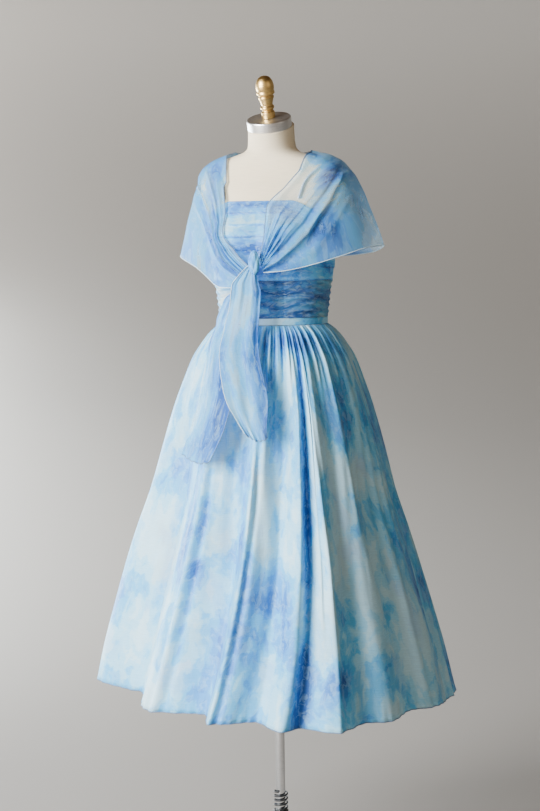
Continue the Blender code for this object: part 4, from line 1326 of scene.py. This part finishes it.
STOLE_RIGHT = table(
    STOLE_COLUMNS,
    (0, 180, 0.080, 1.558, 180, 0.118, 1.540, 180, 0.150, 1.346),
    (1, 150, 0.081, 1.562, 150, 0.150, 1.548, 152, 0.180, 1.346),
    (2, 120, 0.082, 1.568, 121, 0.164, 1.553, 122, 0.206, 1.350),
    (3, 96, 0.086, 1.570, 97, 0.163, 1.550, 97, 0.215, 1.356),
    (4, 78, 0.093, 1.557, 82, 0.161, 1.540, 84, 0.203, 1.350),
    (5, 63, 0.098, 1.535, 66, 0.155, 1.516, 70, 0.178, 1.338),
    (6, 48, 0.106, 1.493, 52, 0.148, 1.471, 57, 0.163, 1.325),
    (7, 37, 0.116, 1.448, 40, 0.147, 1.420, 44, 0.153, 1.305),
    (8, 26, 0.132, 1.388, 28, 0.149, 1.368, 30, 0.150, 1.289),
    (9, 1, 0.149, 1.330, 5, 0.152, 1.314, 10, 0.149, 1.287),
)
STOLE_BEND = 2.0
STOLE_LIFT = 0.0062
STOLE_CLEAR = 0.0045
STOLE_WIDTH = 0.27
STOLE_FOLDS = 5
STOLE_FOLD_DEPTH = table(
    "along depth", (0, 0.0010), (2, 0.0016), (4, 0.0024), (6, 0.0036), (8, 0.0034), (9, 0.0024)
)

# Main creases: how far along the strip each one starts, where it lies across at three places along
# it, how wide it is and how high.
CREASES_LEFT = table(
    "start over_shoulder at_front near_knot wide high",
    (2.8, 0.50, 0.83, 0.90, 0.020, 0.0066),
    (2.8, 0.56, 0.90, 0.96, 0.028, -0.0034),
    (3.4, 0.43, 0.76, 0.83, 0.028, -0.0038),
    (5.9, 0.36, 0.67, 0.76, 0.016, 0.0026),
    (4.6, 0.30, 0.58, 0.67, 0.022, 0.0030),
    (5.6, 0.24, 0.50, 0.60, 0.018, -0.0030),
    (6.2, 0.19, 0.41, 0.50, 0.015, 0.0030),
    (5.2, 0.12, 0.29, 0.38, 0.018, 0.0026),
    (6.4, 0.07, 0.17, 0.24, 0.018, -0.0018),
    (3.0, 0.74, 0.95, 0.99, 0.024, 0.0016),
)
CREASES_RIGHT = table(
    "start over_shoulder at_front near_knot wide high",
    (5.0, 0.18, 0.12, 0.20, 0.018, 0.0020),
    (3.6, 0.30, 0.23, 0.31, 0.024, 0.0036),
    (4.6, 0.38, 0.33, 0.42, 0.024, -0.0034),
    (6.0, 0.48, 0.41, 0.49, 0.018, 0.0022),
    (3.4, 0.56, 0.48, 0.56, 0.024, 0.0046),
    (5.0, 0.63, 0.57, 0.65, 0.022, -0.0060),
    (4.2, 0.74, 0.70, 0.76, 0.026, 0.0038),
    (5.4, 0.84, 0.84, 0.90, 0.028, -0.0024),
)


def crease_height(creases, along, across):
    """Adds up ridges and troughs. Each follows a smooth line across the strip, and its section is
    a bell curve. It grows from nothing at its start to its full height two sections further on."""
    total = 0 * along + 0 * across
    for start, over, front, knot, wide, high in zip(*creases.values()):
        places = (over, over, 0.45 * over + 0.55 * front, front, knot, knot)
        line = np.interp(along, (3.5, 4.0, 5.0, 6.2, 8.0, 9.0), places)
        grow = np.clip((along - start) / 2.0, 0, 1)
        grow = grow * grow * (3 - 2 * grow)
        total = total + high * np.exp(-(((across - line) / wide) ** 2)) * grow
    return total


def top_of_body(radius, turn):
    """Height of the form's shoulders above a place in plan, or zero beyond them."""
    levels = np.linspace(1.500, 1.600, 101)
    reach = body_radius(levels[:, None, None], np.broadcast_to(turn, radius.shape)[None])
    return np.where(reach > radius, levels[:, None, None], 0).max(axis=0)


def stole_points(rows, creases, side, along, across):
    """The stole from its neck edge (across 0) to its hem (across 1): a conic arc that bends over
    the shoulder line, kept off the form, with folds that run from the knot over the shoulder."""
    shares = {"neck_": (1 - across) ** 2, "over_": 2 * STOLE_BEND * across * (1 - across)}
    shares["hem_"] = across**2
    eased = along * (1 - np.exp(-along / 0.35))

    def between(what, place):
        """The mean of the three lines' columns, weighted by the arc's shares."""
        total = 0
        for line, share in shares.items():
            total = total + share * follow(rows, line + what, place, key="along")
        return total / sum(shares.values())

    turn = side * np.radians(between("turn", along))
    radius, z = between("r", eased), between("z", eased)
    depth = follow(STOLE_FOLD_DEPTH, "depth", along, key="along")
    phase = 2 * np.pi * STOLE_FOLDS * across + 0.5 * along * side
    gathered = np.clip((along - 6.2) / 2.2, 0, 1)
    fold = depth * (0.22 + 0.18 * gathered) * np.cos(phase)
    fold = fold + 0.0011 * gathered * np.cos(2.3 * phase + 0.8 * along)
    fold = fold + crease_height(creases, along, across)
    fold = fold + 0.0006 * np.sin(17 * across + 2.2 * along) * np.sin(2.9 * along + 5 * across)
    clear = EASE + WALL + STOLE_CLEAR + depth
    on_body = np.where(z < 1.50, body_radius(z, turn) + clear, 0)
    down = np.clip(2.2 * across, 0, 1) * np.pi / 2
    radius = np.maximum(np.maximum(radius, on_body) + fold * np.sin(down), on_body - depth - 0.001)
    z = np.maximum(z + fold * np.cos(down), top_of_body(radius - STOLE_LIFT, turn) + STOLE_LIFT)
    return cylinder(radius, turn, z + 0 * radius)


print("main creases:", len(CREASES_LEFT["start"]), "and", len(CREASES_RIGHT["start"]))

# %% The stole's sheet
across = np.linspace(0, 1, 120)[None]
along = np.concatenate([np.linspace(0, 3, 36), np.linspace(3, 9, 115)[1:]])[:, None]
right_half = stole_points(STOLE_RIGHT, CREASES_RIGHT, -1, along[::-1], across)
left_half = stole_points(STOLE_LEFT, CREASES_LEFT, 1, along[1:], across)
stole_grid = np.concatenate([right_half, left_half])
signed_along = np.concatenate([-along[::-1, 0], along[1:, 0]])[:, None]
run = arc_length(stole_grid[:, 60])[:, None]
uv = together(STOLE_WIDTH * across, run)

# Patches of the print: how far along (negative on the right) and across, their half sizes and how
# much deeper.
STOLE_PATCHES = (
    (4.4, 0.46, 0.7, 0.11, 0.54), (4.6, 0.32, 0.7, 0.12, 0.24), (5.5, 0.90, 1.0, 0.10, 0.32),
    (7.6, 0.66, 1.0, 0.22, 0.26), (6.2, 0.20, 1.5, 0.26, -0.34), (-5.4, 0.22, 0.9, 0.18, 0.26),
    (-6.4, 0.52, 1.0, 0.09, -0.26), (-5.0, 0.92, 0.8, 0.12, 0.12), (-7.0, 0.66, 1.2, 0.06, 0.22),
    (-8.5, 0.5, 0.8, 0.4, 0.22), (3.0, 0.8, 0.6, 0.12, -0.10),
)
depth = blots(signed_along, across, *STOLE_PATCHES, apart=np.subtract)
right_folds = crease_height(CREASES_RIGHT, along[::-1], across)
left_folds = crease_height(CREASES_LEFT, along[1:], across)
# Painted shade and highlight: the print is made deeper in the creases' troughs and paler on their
# ridges.
depth = depth - 34 * np.concatenate([right_folds, left_folds])
stole = cloth_sheet("stole_shawl", stole_grid, stole_cloth, uv, depth)
stands_for(stole, "stole_back", "stole_left", "stole_right")
print("stole's length:", round(float(run.max()), 3), "m")

# %% [markdown]
# ## The knot and the two ends
# The knot is a short bundle of folded cloth. An egg shape with ridges that wind round it like a
# screw reads as cloth that was pulled through itself. The two ends hang below it, pleated where
# they leave the knot and freer at their hems. Each is a grid between two edges that are tables of
# turns, with pleats as a wave across it that opens out on the way down.

# %% The knot
KNOT = {"x": 0.010, "y": -0.1596, "z": 1.3390, "wide": 0.0115, "deep": 0.0095, "tall": 0.0250}


def knot_points(rows, columns):
    """An egg shape: radius times one plus ridges whose phase runs on with the polar angle."""
    polar = np.linspace(0.03, np.pi - 0.03, rows)[:, None]
    turn = all_round(columns)[None]
    ridge = np.abs(np.sin(2.5 * turn + 1.7 * polar)) ** 0.7 * np.sin(polar) ** 0.5
    wrap = 0.90 + 0.17 * ridge + 0.04 * np.sin(7 * turn - 3 * polar)
    x = KNOT["x"] + KNOT["wide"] * np.sin(polar) * np.cos(turn) * wrap
    y = KNOT["y"] + KNOT["deep"] * np.sin(polar) * np.sin(turn) * wrap
    z = KNOT["z"] + KNOT["tall"] * np.cos(polar) * (0.92 + 0.1 * wrap)
    return together(x, y, z), together(0.02 * turn, 0.025 * polar)


points, uv = knot_points(70, 90)
every, faces = closed_rings(points)
uv = np.concatenate([uv.reshape(-1, 2), uv[[0, -1], 0]])
knot = make_piece("stole_knot_wrapped", every, faces, knot_cloth, uv, np.zeros(len(every)))
stands_for(knot, "stole_knot")
print("knot:", len(faces), "faces")

# %% The hanging ends
TAIL_SHORT = table(
    "z from_turn to_turn radius",
    (1.3122, -13, 6, 0.1580),
    (1.298, -15, 6, 0.1553),
    (1.280, -17, 7, 0.1530),
    (1.245, -21, 6, 0.1475),
    (1.205, -24, 6, 0.1500),
    (1.166, -22, 8, 0.1690),
    (1.110, -16, 11, 0.1970),
    (1.060, -10, 13, 0.2170),
    (1.020, -2, 13, 0.2305),
    (0.996, 3, 14, 0.2385),
)
TAIL_LONG = table(
    "z from_turn to_turn radius",
    (1.2862, -22, -3, 0.1468),
    (1.250, -33, -6, 0.1400),
    (1.215, -43, -11, 0.1380),
    (1.180, -42, -12, 0.1530),
    (1.130, -35, -10, 0.1790),
    (1.070, -31, -8, 0.2050),
    (1.010, -32, -9, 0.2260),
    (0.947, -33, -14, 0.2450),
)
TAIL_SLANT = 0.014
KNOT_TURN = np.radians(3.0)


def tail_points(rows, phase, pleats, lift, columns, steps):
    """Between the two edges the sheet is a wave of pleats. The wave's height grows with the fall,
    its crests are rounder than its troughs, and the hem dips and ripples. In the last 40 mm under
    the knot both edges are drawn towards it."""
    high, low = rows["z"][0] + lift, rows["z"][-1]
    z = np.linspace(high, low, steps)[:, None]
    part = np.linspace(0, 1, columns)[None]
    start, end = (np.radians(follow(rows, edge, z)) for edge in ("from_turn", "to_turn"))
    drawn = 0.8 * np.clip((z - high) / 0.040 + 1, 0, 1) ** 1.5
    start, end = (edge + (KNOT_TURN - edge) * drawn for edge in (start, end))
    fall = (high - z) / (high - low)
    shifted = part + 0.03 * np.sin(2 * np.pi * part) * np.sin(5 * fall + phase)
    wave = np.cos(2 * np.pi * pleats * shifted + phase + 0.8 * np.sin(3 * fall))
    finer = np.cos(2 * np.pi * pleats * 2.7 * shifted + 2 * phase + 2 * np.sin(4 * fall))
    deep = 0.0007 + 0.0016 * np.sin(np.pi * np.clip(0.15 + 0.8 * fall, 0, 1))
    fold = deep * wave + 0.0007 * np.clip(1 - 1.6 * fall, 0, 1) * finer
    fold = fold + 0.0012 * np.sin(11 * part + 13 * fall + phase) * np.sin(7 * fall + 5 * part)
    ripple = 0.0016 * np.sin(30 * part + phase) * np.clip((fall - 0.94) / 0.06, 0, 1)
    radius = follow(rows, "radius", z) + 0.0015 + fold + ripple
    slant = TAIL_SLANT * np.sin(0.8 * np.pi * part) * fall**3
    wander = 0.004 * np.sin(9 * fall + phase) * np.clip(fall * 3, 0, 1)
    turn = start + (end - start) * part + wander * (2 * np.abs(part - 0.5)) / radius
    points = cylinder(radius, turn, z - slant + 0.0012 * np.sin(34 * part) * fall**8)
    return points, together(0.22 * part, 0.9 * (z - low)), fall, part


def make_end(name, solid, shape, beyond, *patches):
    """One hanging end. beyond is how far its cloth lies from the other end's."""
    points, uv, fall, part = tail_points(*shape, 90, 150)
    depth = blots(fall, part, *patches, apart=np.subtract)
    piece = cloth_sheet(name, points, tail_cloth, uv + beyond, depth)
    return stands_for(piece, solid), points


short_end, short_grid = make_end(
    "stole_end_short", "stole_tail_short", (TAIL_SHORT, 0.4, 2.4, 0.022), (0, 0),
    (0.75, 0.93, 0.35, 0.12, 0.36), (0.12, 0.5, 0.1, 0.5, 0.14), (0.45, 0.35, 0.3, 0.2, -0.16),
)
long_end, long_grid = make_end(
    "stole_end_long", "stole_tail_long", (TAIL_LONG, 1.9, 2.6, 0.016), (0.4, 0.9),
    (0.75, 0.88, 0.3, 0.2, 0.30), (0.4, 0.25, 0.25, 0.3, -0.24), (0.93, 0.4, 0.1, 0.5, 0.16),
)

# %% [markdown]
# ## Hems and stitches
# The stole and the skirt are finished with a narrow rolled hem: the edge is rolled between the
# fingers and overcast in a darker thread, so it draws as a thin line. A tube that follows the
# sheet's own edge points does that. The shirring shows as short running stitches, one small capsule
# each, and one mesh holds them all.

# %% Rolled hems
def rolled_hem(name, edge, radius, finish):
    """A thin tube along an edge, a little thicker at each overcast stitch."""
    steps = np.arange(len(edge)) / (len(edge) - 1)
    swell = radius * (1 + 0.14 * np.sin(2 * np.pi * steps * len(edge) / 3))
    radial = edge * (1, 1, 0)
    path = edge - radial / np.linalg.norm(radial, axis=1, keepdims=True) * CLOTH / 2
    return tube(name, path, swell, 6, finish, radial)


def smooth_edge(edge, count):
    """The edge's points, spaced evenly along it."""
    along = arc_length(edge)
    even = np.linspace(0, along[-1], count)
    return np.stack([np.interp(even, along, edge[:, axis]) for axis in range(3)], axis=1)


hems = {}
for name, edge, radius, finish, count in (
    ("skirt_front_hem", front_points[-1], 0.0010, hem_thread, 900),
    ("skirt_back_hem", back_points[-1], 0.0010, hem_thread, 700),
    ("stole_neck_hem", stole_grid[:, 0], 0.0011, hem_thread, 700),
    ("stole_lower_hem", stole_grid[:, -1], 0.0009, pale_thread, 900),
    ("short_end_hem", short_grid[-1], 0.0009, hem_thread, 220),
    ("long_end_hem", long_grid[-1], 0.0009, hem_thread, 220),
    ("short_end_edge", short_grid[:, 0], 0.0007, pale_thread, 420),
    ("long_end_edge", long_grid[:, -1], 0.0007, hem_thread, 420),
):
    hems[name] = stands_for(rolled_hem(name, smooth_edge(edge, count), radius, finish))
faces = sum(len(hem.data.polygons) for hem in hems.values())
print("hems:", len(hems), "pieces,", faces, "faces")


# %% Running stitches
def stitches(name, starts, ends, radius, finish):
    """Capsules from starts to ends: rings of six points whose radius follows half an ellipse."""
    steps = np.linspace(0, 1, 5)[None, :, None, None]
    turn = all_round(6)[None, None, :, None]
    axis = (ends - starts)[:, None, None]
    away = starts * (1, 1, 0)
    side = (away / np.linalg.norm(away, axis=1, keepdims=True))[:, None, None]
    up = np.cross(axis, side)
    up = up / np.linalg.norm(up, axis=-1, keepdims=True)
    swell = radius * np.sqrt(np.clip(1 - (1.8 * steps - 0.9) ** 2, 0, 1))
    around = np.cos(turn) * side + np.sin(turn) * up
    rings = starts[:, None, None] + axis * steps + swell * around
    shift = (np.arange(len(starts)) * 30)[:, None, None]
    quads = (grid_quads(5, 6, True) + shift).reshape(-1, 4)
    caps = (np.stack([np.arange(6)[::-1], np.arange(6) + 24]) + shift).reshape(-1, 6)
    return make_piece(name, rings.reshape(-1, 3), quads.tolist() + caps.tolist(), finish)


STITCH_LENGTH, STITCH_RADIUS = 0.0016, 0.00028


def shirring_line(turn_degrees, count):
    """Start and end points of the stitches down one line of the midriff."""
    turn = np.radians(turn_degrees)
    tops = np.linspace(MIDRIFF_TOP_Z - 0.0015, BAND_TOP_Z + 0.004, count)
    levels = (tops, tops - STITCH_LENGTH)
    return [on_form(turn, z, midriff_ridges(turn + 0 * z, z)) for z in levels]


starts, ends = np.hstack([shirring_line(turn, 26) for turn in (29, -29, 151, 209)])
shirring = stitches("shirring_stitches", starts, ends, STITCH_RADIUS, hem_thread)
stands_for(shirring)
print("stitches:", len(starts))
